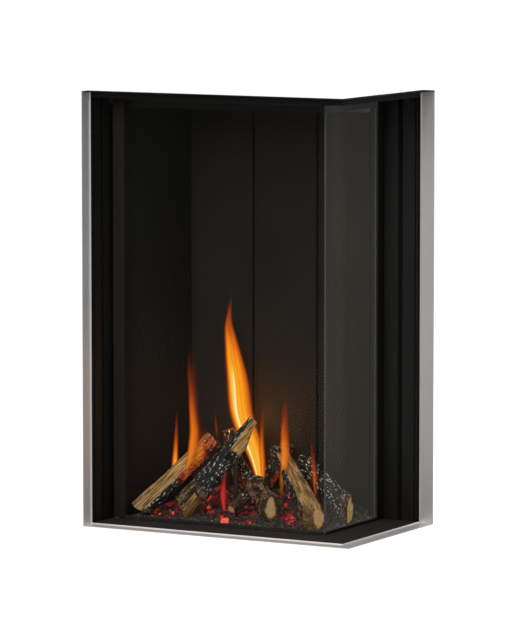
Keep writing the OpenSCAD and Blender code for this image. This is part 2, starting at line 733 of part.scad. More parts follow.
module log_solid(l) difference() {
    polyhedron(
        points = concat([for (i = [0 : log_rings - 1], j = [0 : log_sides - 1])
            log_point(l, i, j)], [l[0], l[1]]),
        faces = concat(
            [for (i = [0 : log_rings - 2], j = [0 : log_sides - 1])
                let (a = i * log_sides + j, b = i * log_sides + (j + 1) % log_sides)
                [a, a + log_sides, b]],
            [for (i = [0 : log_rings - 2], j = [0 : log_sides - 1])
                let (a = i * log_sides + j, b = i * log_sides + (j + 1) % log_sides)
                [b, a + log_sides, b + log_sides]],
            [for (j = [0 : log_sides - 1]) [j, (j + 1) % log_sides, log_sides * log_rings]],
            [for (j = [0 : log_sides - 1])
                let (a = (log_rings - 1) * log_sides)
                [a + (j + 1) % log_sides, a + j, log_sides * log_rings + 1]]));
    translate([l[0][0] - 3 * l[2], l[0][1] - 3 * l[2], l[4] - 3 * l[2]])
        cube([6 * l[2], 6 * l[2], 3 * l[2]]);
    if (l[5] > 0) translate([peg_xy(l)[0], peg_xy(l)[1], 0])
        cylinder(r = peg_r + peg_slack, h = peg_z(l));
}

module log_back_left() color("tan") place() log_solid(logs[0]);
module log_front_left() color("#5a4632") place() log_solid(logs[1]);
module log_centre() color("#2e2824") place() log_solid(logs[2]);
module log_right() color("tan") place() log_solid(logs[3]);
module log_far_right() color("#6b5a44") place() log_solid(logs[4]);
module log_rear_stubs() color("#2e2824") place() for (l = stubs) log_solid(l);

// ---- Embers ----

function level_at(x, y) = max([for (t = terraces)
    x > t[1] + ember_r && x < t[2] - ember_r && y > t[3] + ember_r ? t[0] : 0]);
function near_step(x, y) = max([for (t = terraces)
    (abs(y - t[3]) < ember_r + 1 && x > t[1] - ember_r && x < t[2] + ember_r)
    || ((abs(x - t[1]) < ember_r + 1 || abs(x - t[2]) < ember_r + 1) && y > t[3] - ember_r)
    ? 1 : 0]);
// Least distance from an ember to a log's surface, measured at points along the log's axis
function log_gap(x, y, z) = min([for (l = concat(logs, stubs), t = [-0.05 : 0.05 : 1.05])
    norm([x, y, z] - along(l, t)) - l[2]]);
function peg_gap(x, y) = min([for (l = logs)
    norm([x - peg_xy(l)[0], y - peg_xy(l)[1]]) - peg_r - peg_slack]);
ember_spots = [for (i = [0 : 17], j = [0 : 9]) let (
        x = lining_x + 16 + i * ember_pitch + 3 * sin(i * 71 + j * 133),
        y = bed_y0 + 24 + j * ember_pitch + 3 * cos(i * 97 + j * 41),
        z = level_at(x, y))
    if (z > 0 && near_step(x, y) == 0 && y < back_y - ember_edge && x < bed_x1 - 2 * ember_edge
        && !(abs(x - pilot_x - pilot_w / 2) < pilot_w / 2 + ember_clear
            && y > pilot_y - pilot_d - ember_clear) && peg_gap(x, y) > ember_r
        && log_gap(x, y, z + ember_r / 2) > ember_r + 1) [x, y, z, i * 7 + j * 3]];

module glowing_embers() color("firebrick") place() for (e = ember_spots)
    translate([e[0], e[1], e[2]]) rotate(e[3] * 23)
        cylinder(r1 = ember_r * (0.75 + 0.2 * sin(e[3] * 77)), r2 = ember_r * 0.45,
            h = ember_r * (0.9 + 0.3 * cos(e[3] * 51)), $fn = 6);

// ---- Controls ----

module service_box() color("slategray") place() difference() {
    box([service_x0, rear_y, 0], [service_x1, overall_d, service_h]);
    box([-trim_w, rear_y - 1, service_t],
        [service_x1 - service_t, overall_d - service_t, service_h - service_t]);
    translate([service_x1 - service_t - 1, spindle_y, tap_z])
        pin_x(feed_r + 0.3, service_t + 2);
    translate([service_pin_x, service_pin_y, -1])
        cylinder(r = service_pin_r + 0.05, h = service_h + 2);
}

// Panel with two arms that turn on pins in the box's floor and roof, and a sprung catch
module service_door() color("slategray") place() union() {
    box([-trim_w, rear_y + 1, service_t + 0.3],
        [-trim_w + service_door_t, service_door_y1, service_h - service_t - 0.3]);
    for (z = [service_t + 0.3, service_h - service_t - 2.3])
        box([-trim_w, service_pin_y - service_pin_r, z],
            [service_pin_x + service_pin_r, service_pin_y + service_pin_r, z + 2]);
    for (z = [0.2, service_h - service_t - 2.3])
        translate([service_pin_x, service_pin_y, z])
            cylinder(r = service_pin_r, h = service_t + 2.1);
    box([-trim_w, rear_y + 3, service_h / 2], [service_x0 + 3, rear_y + 4, service_h / 2 + 20]);
}

module gas_valve() color("silver") place() union() {
    box([valve_x0, valve_y0, service_t], [valve_x1, valve_y1, service_t + valve_h]);
    translate([valve_x0 - spindle_len, spindle_y, spindle_z]) pin_x(spindle_r, spindle_len);
}

module control_knob() color("#181818") place() difference() {
    translate([valve_x0 - 15, spindle_y, spindle_z]) union() {
        pin_x(knob_r, 13);
        translate([-3, -knob_r + 1, -2]) cube([3, 2 * knob_r - 2, 4]);
    }
    translate([valve_x0 - spindle_len - 0.5, spindle_y, spindle_z])
        pin_x(spindle_r + spindle_slack, spindle_len + 1);
}

module gas_inlet_tap() color("goldenrod") place() union() {
    translate([valve_x1, spindle_y, tap_z]) pin_x(feed_r, tap_x - tap_half - valve_x1);
    box([tap_x - tap_half, spindle_y - tap_body, tap_z - tap_body],
        [tap_x + tap_half, spindle_y + tap_body, tap_z + tap_body]);
    translate([tap_x + tap_half, spindle_y, tap_z]) pin_x(feed_r, service_x1 - tap_x);
    translate([service_x1 + 0.3, spindle_y, tap_z]) pin_x(inlet_r, inlet_len);
    translate([tap_x, spindle_y, tap_z + tap_body]) cylinder(r = 6, h = 1.9);
    translate([tap_x, spindle_y, tap_z + tap_body]) cylinder(r = tap_stem_r, h = 8);
    translate([tap_x, spindle_y, lever_z + 4.1]) cylinder(r = 6, h = 3, $fn = 6);
}

module isolation_lever() color("firebrick") place() translate([tap_x, spindle_y, lever_z])
    difference() {
        union() {
            cylinder(r = 7, h = 4);
            translate([0, -3.5, 0]) cube([lever_len, 7, 3]);
        }
        translate([0, 0, -1]) cylinder(r = tap_stem_r + spindle_slack, h = 6);
    }

// ---- Wall brackets ----

module wall_brackets() color("slategray") place() for (x = [-trim_w + 30, bracket_right_x])
    translate([x, rear_y, bracket_z]) difference() {
        cube([bracket_w, standoff, bracket_h]);
        translate([2, 2, -1]) cube([bracket_w, standoff - 4, bracket_h + 2]);
        for (s = [-1, 1])
            translate([bracket_w / 2, standoff - 3, bracket_h / 2 + s * wall_hole_pitch / 2])
                pin_y(wall_hole_r, 4);
    }

trim_left();
trim_right();
trim_bottom_front();
trim_bottom_side();
trim_top_front();
trim_top_side();
reveal_left();
reveal_right();
sill_plate();
soffit_plate();
base_plate();
casing_left();
casing_back();
casing_right();
casing_top();
casing_screws();
left_liner();
back_panel_left();
back_panel_middle();
back_panel_right();
right_liner();
firebox_ceiling();
back_insulation();
flue_collector();
flue_inner_spigot();
flue_outer_spigot();
flue_restrictor();
relief_flap();
relief_pin();
door_glass();
door_stile();
door_top_rail();
door_bottom_rail();
door_gasket();
door_hinge_pins();
door_magnets();
side_glass();
side_glass_retainer();
side_glass_channels();
side_glass_seals();
burner_tray();
burner_tubes();
gas_feed_pipe();
pilot_burner();
log_pegs();
ember_bed();
glowing_embers();
log_back_left();
log_front_left();
log_centre();
log_right();
log_far_right();
log_rear_stubs();
service_box();
service_door();
gas_valve();
control_knob();
gas_inlet_tap();
isolation_lever();
wall_brackets();
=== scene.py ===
"""Looks of a tall corner gas fire with a log fire behind two panes of glass.

The fixed frame gives the sheet metal, glass, flue and controls. This script gives each of
them its finish, and models the cast logs, the granulate, the glowing embers and the flames.
"""

import logging
import math
from collections.abc import Callable, Iterator
from contextlib import contextmanager
from dataclasses import dataclass, field
from enum import Enum
from typing import Any, Union

import bmesh
import bpy
import numpy as np
from mathutils import Matrix, Vector


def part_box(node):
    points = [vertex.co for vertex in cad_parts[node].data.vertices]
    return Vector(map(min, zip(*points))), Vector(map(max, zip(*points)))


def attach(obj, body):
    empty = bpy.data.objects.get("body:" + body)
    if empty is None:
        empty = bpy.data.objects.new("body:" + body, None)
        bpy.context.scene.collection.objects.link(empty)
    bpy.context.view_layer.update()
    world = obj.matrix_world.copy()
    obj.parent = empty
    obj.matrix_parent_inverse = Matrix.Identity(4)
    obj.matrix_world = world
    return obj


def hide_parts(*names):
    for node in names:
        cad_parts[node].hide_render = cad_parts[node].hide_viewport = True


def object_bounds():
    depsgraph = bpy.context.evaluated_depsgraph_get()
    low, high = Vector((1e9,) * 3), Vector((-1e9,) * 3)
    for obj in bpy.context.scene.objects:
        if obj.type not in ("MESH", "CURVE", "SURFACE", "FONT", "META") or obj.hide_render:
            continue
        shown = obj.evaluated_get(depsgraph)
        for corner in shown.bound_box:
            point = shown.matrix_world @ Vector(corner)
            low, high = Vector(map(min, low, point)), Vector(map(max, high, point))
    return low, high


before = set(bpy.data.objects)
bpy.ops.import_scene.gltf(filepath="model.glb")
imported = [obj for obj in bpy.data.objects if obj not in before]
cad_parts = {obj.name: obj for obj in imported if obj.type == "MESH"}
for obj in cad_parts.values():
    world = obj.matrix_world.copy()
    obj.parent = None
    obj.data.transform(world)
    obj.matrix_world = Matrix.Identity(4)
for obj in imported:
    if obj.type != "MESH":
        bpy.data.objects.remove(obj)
CAD_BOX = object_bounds()

log = logging.getLogger("corner_fire")
Triple = tuple[float, float, float]
Colour = Triple
Array = np.ndarray
Piece = bpy.types.Object
Material = bpy.types.Material
Term = Union["Wire", float]
Value = Union["Wire", float, tuple]
MM = 0.001
TURN = 2 * math.pi


# ---- Shader maths ----

class Wire:
    """A shader socket with arithmetic: an expression on it adds its Math nodes."""

    def __init__(self, graph: "Graph", socket: bpy.types.NodeSocket) -> None:
        """Keeps the graph and the socket."""
        self.graph = graph
        self.socket = socket

    def _math(self, operation: str, *terms: Term) -> "Wire":
        """Adds one Math node and returns its result."""
        return self.graph.node("Math", {"operation": operation}, dict(enumerate(terms)))

    def __add__(self, other: Term) -> "Wire":
        """Sum."""
        return self._math("ADD", self, other)

    def __sub__(self, other: Term) -> "Wire":
        """Difference."""
        return self._math("SUBTRACT", self, other)

    def __rsub__(self, other: Term) -> "Wire":
        """Difference from a value on the left."""
        return self._math("SUBTRACT", other, self)

    def __mul__(self, other: Term) -> "Wire":
        """Product."""
        return self._math("MULTIPLY", self, other)

    def __pow__(self, other: Term) -> "Wire":
        """Power."""
        return self._math("POWER", self, other)

    __radd__ = __add__
    __rmul__ = __mul__

    def size(self) -> "Wire":
        """The value without its sign."""
        return self._math("ABSOLUTE", self)

    def rise(self, low: float, high: float) -> "Wire":
        """Smooth step from 0 at low to 1 at high."""
        return self.graph.node("MapRange", {"interpolation_type": "SMOOTHSTEP"},
                               {"Value": self, "From Min": low, "From Max": high})

    def clamp(self) -> "Wire":
        """The value held between 0 and 1."""
        return self.graph.node("Clamp", None, {"Value": self})


class Coords(Enum):
    """The coordinates that a pattern follows."""

    OBJECT = "Object"
    UV = "UV"


class Graph:
    """The node tree of one finish, or of the world."""

    def __init__(self, name: str, world: bool = False) -> None:
        """Starts an empty tree.

        Args:
            name: the finish's name.
            world: whether the tree is a world's and not a material's.
        """
        self.kind = "World" if world else "Material"
        self.owner = (bpy.data.worlds if world else bpy.data.materials).new(name)
        self.owner.use_nodes = True
        self.tree = self.owner.node_tree
        self.tree.nodes.clear()

    def node(self, kind: str, settings: dict[str, Any] | None = None,
             sockets: dict[Any, Value] | None = None, out: int | str = 0) -> Wire:
        """Adds one node.

        Args:
            kind: the node's type, without ShaderNode at its start.
            settings: its properties, set before its sockets; "stops" fills a colour ramp.
            sockets: values or wires for its inputs, by name or number.
            out: which output to return.

        Returns:
            The wire of that output.
        """
        made = self.tree.nodes.new(f"ShaderNode{kind}")
        for key, value in (settings or {}).items():
            if key == "stops":
                self._fill_ramp(made.color_ramp, value)
            else:
                setattr(made, key, value)
        for key, value in (sockets or {}).items():
            self._feed(made.inputs[key], value)
        return Wire(self, made.outputs[out])

    def _feed(self, socket: bpy.types.NodeSocket, value: Value) -> None:
        """Links a wire to a socket, or sets the socket's own value.

        Args:
            socket: the input.
            value: a wire, a number, a colour or a vector.
        """
        if isinstance(value, Wire):
            self.tree.links.new(value.socket, socket)
        elif isinstance(value, tuple) and socket.type == "RGBA":
            socket.default_value = (*value, 1.0)
        else:
            socket.default_value = value

    @staticmethod
    def _fill_ramp(ramp: bpy.types.ColorRamp, stops: list[tuple[float, Colour]]) -> None:
        """Gives a colour ramp its stops.

        Args:
            ramp: the ramp of a new node.
            stops: places from 0 to 1 with their colours, the lowest first.
        """
        while len(ramp.elements) > 1:
            ramp.elements.remove(ramp.elements[-1])
        ramp.elements[0].position, first = stops[0]
        ramp.elements[0].color = (*first, 1.0)
        for place, colour in stops[1:]:
            ramp.elements.new(place).color = (*colour, 1.0)

    def place(self, size: float | Triple, turn: Triple = (0, 0, 0),
              origin: Triple = (0, 0, 0), source: Coords = Coords.OBJECT) -> Wire:
        """Coordinates, measured in units of a feature's size.

        Args:
            size: the feature's size along x, y and z, or one size for all three.
            turn: Euler angles of the feature's own axes.
            origin: where its own axes start.
            source: the coordinates to measure.

        Returns:
            The coordinates.
        """
        scale = size if isinstance(size, tuple) else (size, size, size)
        sockets = {"Vector": self.node("TexCoord", out=source.value), "Location": origin,
                   "Rotation": turn, "Scale": scale}
        return self.node("Mapping", {"vector_type": "TEXTURE"}, sockets)

    def axis(self, number: int, source: Coords = Coords.OBJECT) -> Wire:
        """One coordinate: 0, 1 or 2 for x, y or z."""
        return self.node("SeparateXYZ", None, {0: self.place(1.0, source=source)}, number)

    def grain(self, size: float | Triple, detail: float = 2.0, rough: float = 0.5,
              warp: float = 0.0, **own: Any) -> Wire:
        """Fractal noise.

        Args:
            size: the size of its features.
            detail: how many finer layers lie over them.
            rough: how strong the finer layers are.
            warp: how much the features are bent.
            **own: the turn, origin and source of its coordinates.

        Returns:
            A value of about 0.2 to 0.8.
        """
        sockets = {"Vector": self.place(size, **own), "Scale": 1.0, "Detail": detail,
                   "Roughness": rough, "Distortion": warp}
        return self.node("TexNoise", None, sockets)

    def cells(self, point: Wire, feature: str = "F1", out: str = "Distance") -> Wire:
        """Voronoi cells of about one unit."""
        return self.node("TexVoronoi", {"feature": feature}, {"Vector": point, "Scale": 1.0}, out)

    def chance(self, point: Wire) -> Wire:
        """A random value for each cell."""
        return self.node("SeparateColor", None, {0: self.cells(point, out="Color")})

    def mix(self, low: Value, high: Value, share: Value) -> Wire:
        """Mixes two colours."""
        return self.node("Mix", {"data_type": "RGBA"}, {0: share, 6: low, 7: high}, out=2)

    def ramp(self, value: Wire, stops: list[tuple[float, Colour]]) -> Wire:
        """Colour ramp."""
        return self.node("ValToRGB", {"stops": stops}, {0: value})

    def mask(self, name: str) -> Wire:
        """A mesh's own attribute, as a value."""
        settings = {"attribute_type": "GEOMETRY", "attribute_name": name}
        return self.node("Attribute", settings, out="Fac")

    def bump(self, height: Wire, depth: float, strength: float = 1.0) -> Wire:
        """Bump of a given depth in metres."""
        sockets = {"Height": height, "Distance": depth, "Strength": strength}
        return self.node("Bump", None, sockets)

    def shader(self, sockets: dict[str, Value]) -> Wire:
        """A Principled shader."""
        return self.node("BsdfPrincipled", None, sockets)

    def finish(self, surface: Wire) -> Any:
        """Ends the tree in its output.

        Args:
            surface: the shader to show.

        Returns:
            The material or the world.
        """
        end = self.tree.nodes.new(f"ShaderNodeOutput{self.kind}")
        self.tree.links.new(surface.socket, end.inputs["Surface"])
        return self.owner


def tinted(tone: Colour, share: float, lift: float = 0.0) -> Colour:
    """A tone made lighter or darker."""
    return tuple(min(1.0, share * part + lift) for part in tone)


# ---- Finishes of the sheet metal, glass and controls ----

@dataclass(frozen=True)
class Finish:
    """A surface finish that builds its own material."""

    name: str

    def build(self) -> Material:
        """Makes the material."""
        raise NotImplementedError


@dataclass(frozen=True)
class SootAndShadeLine:
    """A dark line along a joint or groove, which is soot in a board joint and painted shade in a
    groove: its middle, and its half width within and in all.

    The measures are in metres, along the axis that runs across the line.
    """

    axis: int
    middle: float
    core: float = 0.0016
    edge: float = 0.0036
    tone: Colour = (0.0006, 0.0005, 0.0004)

    def draw(self, g: Graph, base: Wire, rough: Wire) -> tuple[Wire, Wire]:
        """Draws the line on a surface.

        Args:
            g: the surface's node tree.
            base: its colour.
            rough: its roughness.

        Returns:
            The colour and the roughness with the line.
        """
        line = 1 - (g.axis(self.axis) - self.middle).size().rise(self.core, self.edge)
        return g.mix(base, self.tone, line), rough + line


@dataclass(frozen=True)
class BrushedSteel(Finish):
    """Brushed stainless steel: fine scratches along the strip, with faint handling marks."""

    scratch: Triple
    tone: Colour
    rough: float = 0.36
    metal: float = 0.6

    def build(self) -> Material:
        """Makes the material.

        Returns:
            The material.
        """
        g = Graph(self.name)
        line = g.grain(self.scratch, 3, 0.6)
        cloud = g.grain(0.11)
        return g.finish(g.shader({
            "Base Color": g.mix(tinted(self.tone, 0.82), tinted(self.tone, 1.1),
                                (line * 0.75 + cloud * 0.25).clamp()),
            "Metallic": self.metal, "Roughness": self.rough + 0.14 * line + 0.06 * cloud,
            "Normal": g.bump(line, 0.00004, 0.6)}))


@dataclass(frozen=True)
class SatinPaint(Finish):
    """Satin heat-resistant paint: a fine orange peel, a little dust, and painted shade in its
    grooves.
    """

    tone: Colour = (0.005, 0.0045, 0.0038)
    rough: float = 0.36
    gloss: float = 0.22
    grit: float = 0.0
    painted_groove_shade: tuple[SootAndShadeLine, ...] = ()

    def build(self) -> Material:
        """Makes the material.

        Returns:
            The material.
        """
        g = Graph(self.name)
        peel = g.grain(0.0011)
        cloud = g.grain((0.07, 0.07, 0.16), 3)
        speck = g.grain(0.0016, 0).rise(0.7, 0.78)
        grain = g.grain(0.0042, 3, 0.7).rise(0.44, 0.64)
        dusty = tinted(self.tone, 1.6, 0.0015)
        base = g.mix(self.tone, dusty, (cloud * 0.5 + speck * 0.5).clamp())
        base = g.mix(base, tinted(self.tone, 5.5), grain * self.grit)
        rough = self.rough + 0.1 * cloud + 0.05 * peel
        # Painted shade in the grooves, where shade falls.
        for line in self.painted_groove_shade:
            base, rough = line.draw(g, base, rough)
        return g.finish(g.shader({
            "Base Color": base, "Specular IOR Level": self.gloss, "Roughness": rough.clamp(),
            "Normal": g.bump(peel + grain * (self.grit * 6), 0.00006, 0.5)}))


@dataclass(frozen=True)
class GalvanisedSheet(Finish):
    """Galvanised sheet: zinc crystals of different greys and a dull sheen."""

    crystal: float = 0.011

    def build(self) -> Material:
        """Makes the material.

        Returns:
            The material.
        """
        g = Graph(self.name)
        bent = {0: g.place(self.crystal), 1: g.grain(0.01, 1)}
        point = g.node("VectorMath", {"operation": "ADD"}, bent)
        spangle = g.chance(point)
        edge = g.cells(point, "DISTANCE_TO_EDGE").rise(0.0, 0.05)
        cloud = g.grain(0.2, 3)
        tone = g.mix((0.36, 0.38, 0.39), (0.62, 0.64, 0.65), spangle * 0.7 + cloud * 0.3)
        return g.finish(g.shader({
            "Base Color": g.mix((0.33, 0.35, 0.36), tone, edge), "Metallic": 0.85,
            "Roughness": 0.34 + 0.2 * spangle + 0.08 * cloud,
            "Normal": g.bump(spangle + 0.3 * edge, 0.00005, 0.4)}))


@dataclass(frozen=True)
class LiningBoard(Finish):
    """Dark vermiculite board: pressed flakes, brush marks, a thin coat of soot, sooted joints."""

    tone: Colour = (0.0088, 0.0074, 0.0058)
    joints: tuple[SootAndShadeLine, ...] = ()

    def build(self) -> Material:
        """Makes the material.

        Returns:
            The material.
        """
        g = Graph(self.name)
        flake = g.grain(0.0035, 4, 0.65)
        brushed = g.grain((0.004, 0.004, 0.11))
        soot = g.grain((0.09, 0.09, 0.16), 3)
        share = (flake * 0.45 + brushed * 0.3 + soot * 0.35).rise(0.25, 0.85)
        base = g.mix(tinted(self.tone, 0.55), tinted(self.tone, 2.1), share)
        rough = 0.62 + 0.2 * flake
        for line in self.joints:
            base, rough = line.draw(g, base, rough)
        return g.finish(g.shader({
            "Base Color": base, "Roughness": rough.clamp(), "Specular IOR Level": 0.22,
            "Normal": g.bump(flake * 0.7 + brushed * 0.3, 0.0005, 0.7)}))


@dataclass(frozen=True)
class FibreSlab(Finish):
    """Rigid ceramic fibre slab: off-white, with short matted fibres."""

    def build(self) -> Material:
        """Makes the material.

        Returns:
            The material.
        """
        g = Graph(self.name)
        matted = g.grain((0.002, 0.002, 0.006), 5, 0.7, 1.5)
        return g.finish(g.shader({
            "Base Color": g.mix((0.5, 0.45, 0.37), (0.76, 0.72, 0.63),
                                (matted * 0.7 + g.grain(0.08) * 0.4).clamp()),
            "Roughness": 0.9, "Normal": g.bump(matted, 0.001, 0.8)}))


@dataclass(frozen=True)
class CoatedGlass(Finish):
    """Glass ceramic with an anti-reflection coat and a painted reflection on its face: a faint even
    glow, the veil, that stands in for the bright surroundings the glass would mirror.

    head_on and grazing are the shares of light that each face reflects at those angles.
    """

    veil: float
    head_on: float = 0.002
    grazing: float = 0.9
    tint: Colour = (0.965, 0.972, 0.962)

    def build(self) -> Material:
        """Makes the material: mostly clear, with a gloss that grows towards grazing views.

        Returns:
            The material.
        """
        g = Graph(self.name)
        clear = g.node("BsdfTransparent", None, {"Color": self.tint})
        gloss = g.node("BsdfAnisotropic", None, {"Color": (0.98, 1.0, 0.93), "Roughness": 0.02})
        # Painted reflection: an emitted, mottled haze of the veil's strength, over the real gloss.
        reflection_mottle = g.grain((0.16, 0.16, 0.3), 3, 0.55)
        reflection_tint = g.mix((0.96, 0.92, 0.76), (1.0, 0.97, 0.82), reflection_mottle)
        painted_reflection = g.node("Emission", None, {"Color": reflection_tint, "Strength": self.veil})
        facing = g.node("LayerWeight", None, {"Blend": 0.5}, out="Facing")
        coat = self.head_on + facing ** 5 * self.grazing
        pane = g.node("MixShader", None, {0: coat, 1: clear, 2: gloss})
        return g.finish(g.node("AddShader", None, {0: pane, 1: painted_reflection}))


@dataclass(frozen=True)
class RopeSeal(Finish):
    """Woven glass fibre rope, dark grey."""

    def build(self) -> Material:
        """Makes the material.

        Returns:
            The material.
        """
        g = Graph(self.name)
        strand = g.cells(g.place((0.0012, 0.0012, 0.003), turn=(0.5, 0.0, 0.5)))
        fuzz = g.grain(0.0006)
        return g.finish(g.shader({
            "Base Color": g.mix((0.02, 0.02, 0.02), (0.1, 0.1, 0.1), strand + fuzz * 0.3),
            "Roughness": 0.92, "Normal": g.bump(strand + fuzz, 0.0006, 0.9)}))


@dataclass(frozen=True)
class SpunMetal(Finish):
    """Rolled or turned metal: fine marks round its axis and a faint stain."""

    tone: Colour
    mark: Triple
    rough: float = 0.3
    stain: Colour = (0.4, 0.3, 0.22)
    stained: float = 0.25

    def build(self) -> Material:
        """Makes the material.

        Returns:
            The material.
        """
        g = Graph(self.name)
        line = g.grain(self.mark, 3)
        cloud = g.grain(0.035, 3)
        fresh = g.mix(tinted(self.tone, 0.78), self.tone, line)
        return g.finish(g.shader({
            "Base Color": g.mix(fresh, self.stain, cloud.rise(0.45, 0.85) * self.stained),
            "Metallic": 1.0, "Roughness": self.rough + 0.15 * line + 0.15 * cloud,
            "Normal": g.bump(line, 0.00005, 0.5)}))


@dataclass(frozen=True)
class MouldedPlastic(Finish):
    """Moulded plastic with a fine spark-eroded grain."""

    tone: Colour
    rough: float

    def build(self) -> Material:
        """Makes the material.

        Returns:
            The material.
        """
        g = Graph(self.name)
        grain = g.grain(0.0005, 1)
        share = grain * 0.4 + g.grain(0.02) * 0.4
        return g.finish(g.shader({
            "Base Color": g.mix(self.tone, tinted(self.tone, 1.7, 0.01), share),
            "Roughness": self.rough + 0.15 * grain, "Normal": g.bump(grain, 0.00008, 0.6)}))


# ---- Finishes of the fire ----

@dataclass(frozen=True)
class CastWood(Finish):
    """Painted ceramic fibre log: split tan faces, dark bark, black char with white ash.

    The masks bark, char, cut and pale come from the log's own mesh, and so do its masks of
    painted shade in the fissures and of painted flame light, where the flames would light it.
    """

    origin: Triple
    turn: Triple
    tan_dark: Colour = (0.15, 0.068, 0.02)
    tan_light: Colour = (0.86, 0.54, 0.23)
    bark_dark: Colour = (0.013, 0.0075, 0.0042)
    bark_light: Colour = (0.36, 0.205, 0.09)
    rim_dark: Colour = (0.02, 0.012, 0.005)
    rim_light: Colour = (0.17, 0.1, 0.035)
    fleck: Colour = (0.95, 0.93, 0.86)
    flecked: float = 1.0

    def build(self) -> Material:
        """Makes the material.

        Returns:
            The material.
        """
        g = Graph(self.name)
        own = {"turn": self.turn, "origin": self.origin}
        fibre = g.grain((0.0019, 0.0019, 0.035), 4, 0.65, **own)
        band = g.grain((0.0052, 0.0052, 0.07), **own)
        crumb = g.grain((0.003, 0.003, 0.0046), 3, 0.7, **own)
        patch = g.grain((0.012, 0.012, 0.02), **own)
        flakes = g.place((0.0031, 0.0031, 0.0105), **own)
        spot = g.cells(flakes)
        bark, char, painted_fissure_shade, cut = (g.mask(name) for name in ("bark", "char", "painted_fissure_shade", "cut"))

        wood = g.mix(self.tan_dark, self.tan_light, (fibre + band * 0.55).rise(0.58, 0.98))
        crack = 1 - (band - 0.47).size().rise(0.0, 0.035)
        wood = g.mix(wood, self.bark_dark, (crack * 0.8 + band.rise(0.6, 0.72) * 0.5).clamp())
        rind = g.mix(self.bark_dark, self.bark_light, (crumb + patch * 0.4).rise(0.55, 0.95))
        coal = g.mix((0.002, 0.002, 0.002), (0.03, 0.026, 0.021), crumb.rise(0.4, 0.75))
        pith = (fibre * 0.5 + crumb * 0.5).rise(0.3, 0.66) * 0.6 + 0.4
        face = g.mix(self.tan_dark, self.tan_light, pith)
        edge = g.mix(self.rim_dark, self.rim_light, (crumb + patch * 0.3).rise(0.5, 0.9))
        face = g.mix(edge, face, g.mask("pale"))

        burnt = (char + (patch - 0.5) * 1.3 * char.rise(0.02, 0.4)).rise(0.3, 0.6)
        base = g.mix(g.mix(wood, rind, bark.rise(0.3, 0.7)), coal, burnt)
        # Painted shade in the deepest fissures of the relief, then the sawn ends over it.
        base = g.mix(g.mix(base, (0.003, 0.002, 0.0015), painted_fissure_shade * 0.9), face, cut)
        flake = (1 - spot.rise(0.26, 0.44)) * g.chance(flakes).rise(0.34, 0.4)
        flake = flake * patch.rise(0.34, 0.48) * (burnt + bark * 0.22).clamp() * (1 - painted_fissure_shade)
        flake = flake * self.flecked * (0.35 + 0.65 * crumb.rise(0.4, 0.6)) * (1 - cut)

        # Painted flame light: an orange glow, as emission, where the flames would light the log.
        warmth = (g.mask("painted_flame_light") * (crumb + 0.4 * spot).rise(0.52, 0.92)).clamp()
        fire = g.ramp(warmth, [(0.0, (0.0, 0.0, 0.0)), (0.3, (0.1, 0.006, 0.002)),
                               (0.6, (0.62, 0.1, 0.015)), (1.0, (1.0, 0.42, 0.1))])
        relief = g.mix(fibre, crumb, (bark.rise(0.2, 0.8) * 0.6 + burnt * 0.6).clamp())
        return g.finish(g.shader({
            "Base Color": g.mix(base, self.fleck, flake), "Roughness": 0.88 - 0.3 * burnt,
            "Specular IOR Level": 0.3, "Emission Color": fire, "Emission Strength": 0.9,
            "Normal": g.bump(relief, 0.0016, 0.9)}))


@dataclass(frozen=True)
class Granules(Finish):
    """Charcoal-grey granulate: each chip has its own shade, from the mask shade."""

    def build(self) -> Material:
        """Makes the material.

        Returns:
            The material.
        """
        g = Graph(self.name)
        grain = g.grain(0.0012, 3, 0.7)
        tone = g.ramp((g.mask("shade") + 0.16 * (grain - 0.5)).clamp(), [
            (0.0, (0.007, 0.0055, 0.0045)), (0.4, (0.062, 0.054, 0.043)),
            (0.86, (0.25, 0.218, 0.173)), (1.0, (0.46, 0.41, 0.32))])
        return g.finish(g.shader({
            "Base Color": tone, "Roughness": 0.7 + 0.25 * grain,
            "Normal": g.bump(grain, 0.0005, 0.7)}))


@dataclass(frozen=True)
class LiveEmber(Finish):
    """Ceramic ember: a dark crust over a red glow, from the mask warmth."""

    def build(self) -> Material:
        """Makes the material.

        Returns:
            The material.
        """
        g = Graph(self.name)
        crust = g.grain(0.0032, 3, 0.6)
        fire = g.ramp((g.mask("warmth") * (0.4 + 1.15 * crust)).clamp(), [
            (0.0, (0.0, 0.0, 0.0)), (0.28, (0.008, 0.0006, 0.001)), (0.5, (0.14, 0.005, 0.009)),
            (0.7, (0.5, 0.018, 0.025)), (0.9, (0.86, 0.042, 0.036)), (1.0, (1.0, 0.15, 0.07))])
        return g.finish(g.shader({
            "Base Color": g.mix((0.006, 0.004, 0.004), (0.06, 0.022, 0.018), crust),
            "Roughness": 0.8, "Emission Color": fire, "Emission Strength": 1.0,
            "Normal": g.bump(crust, 0.0012, 0.8)}))


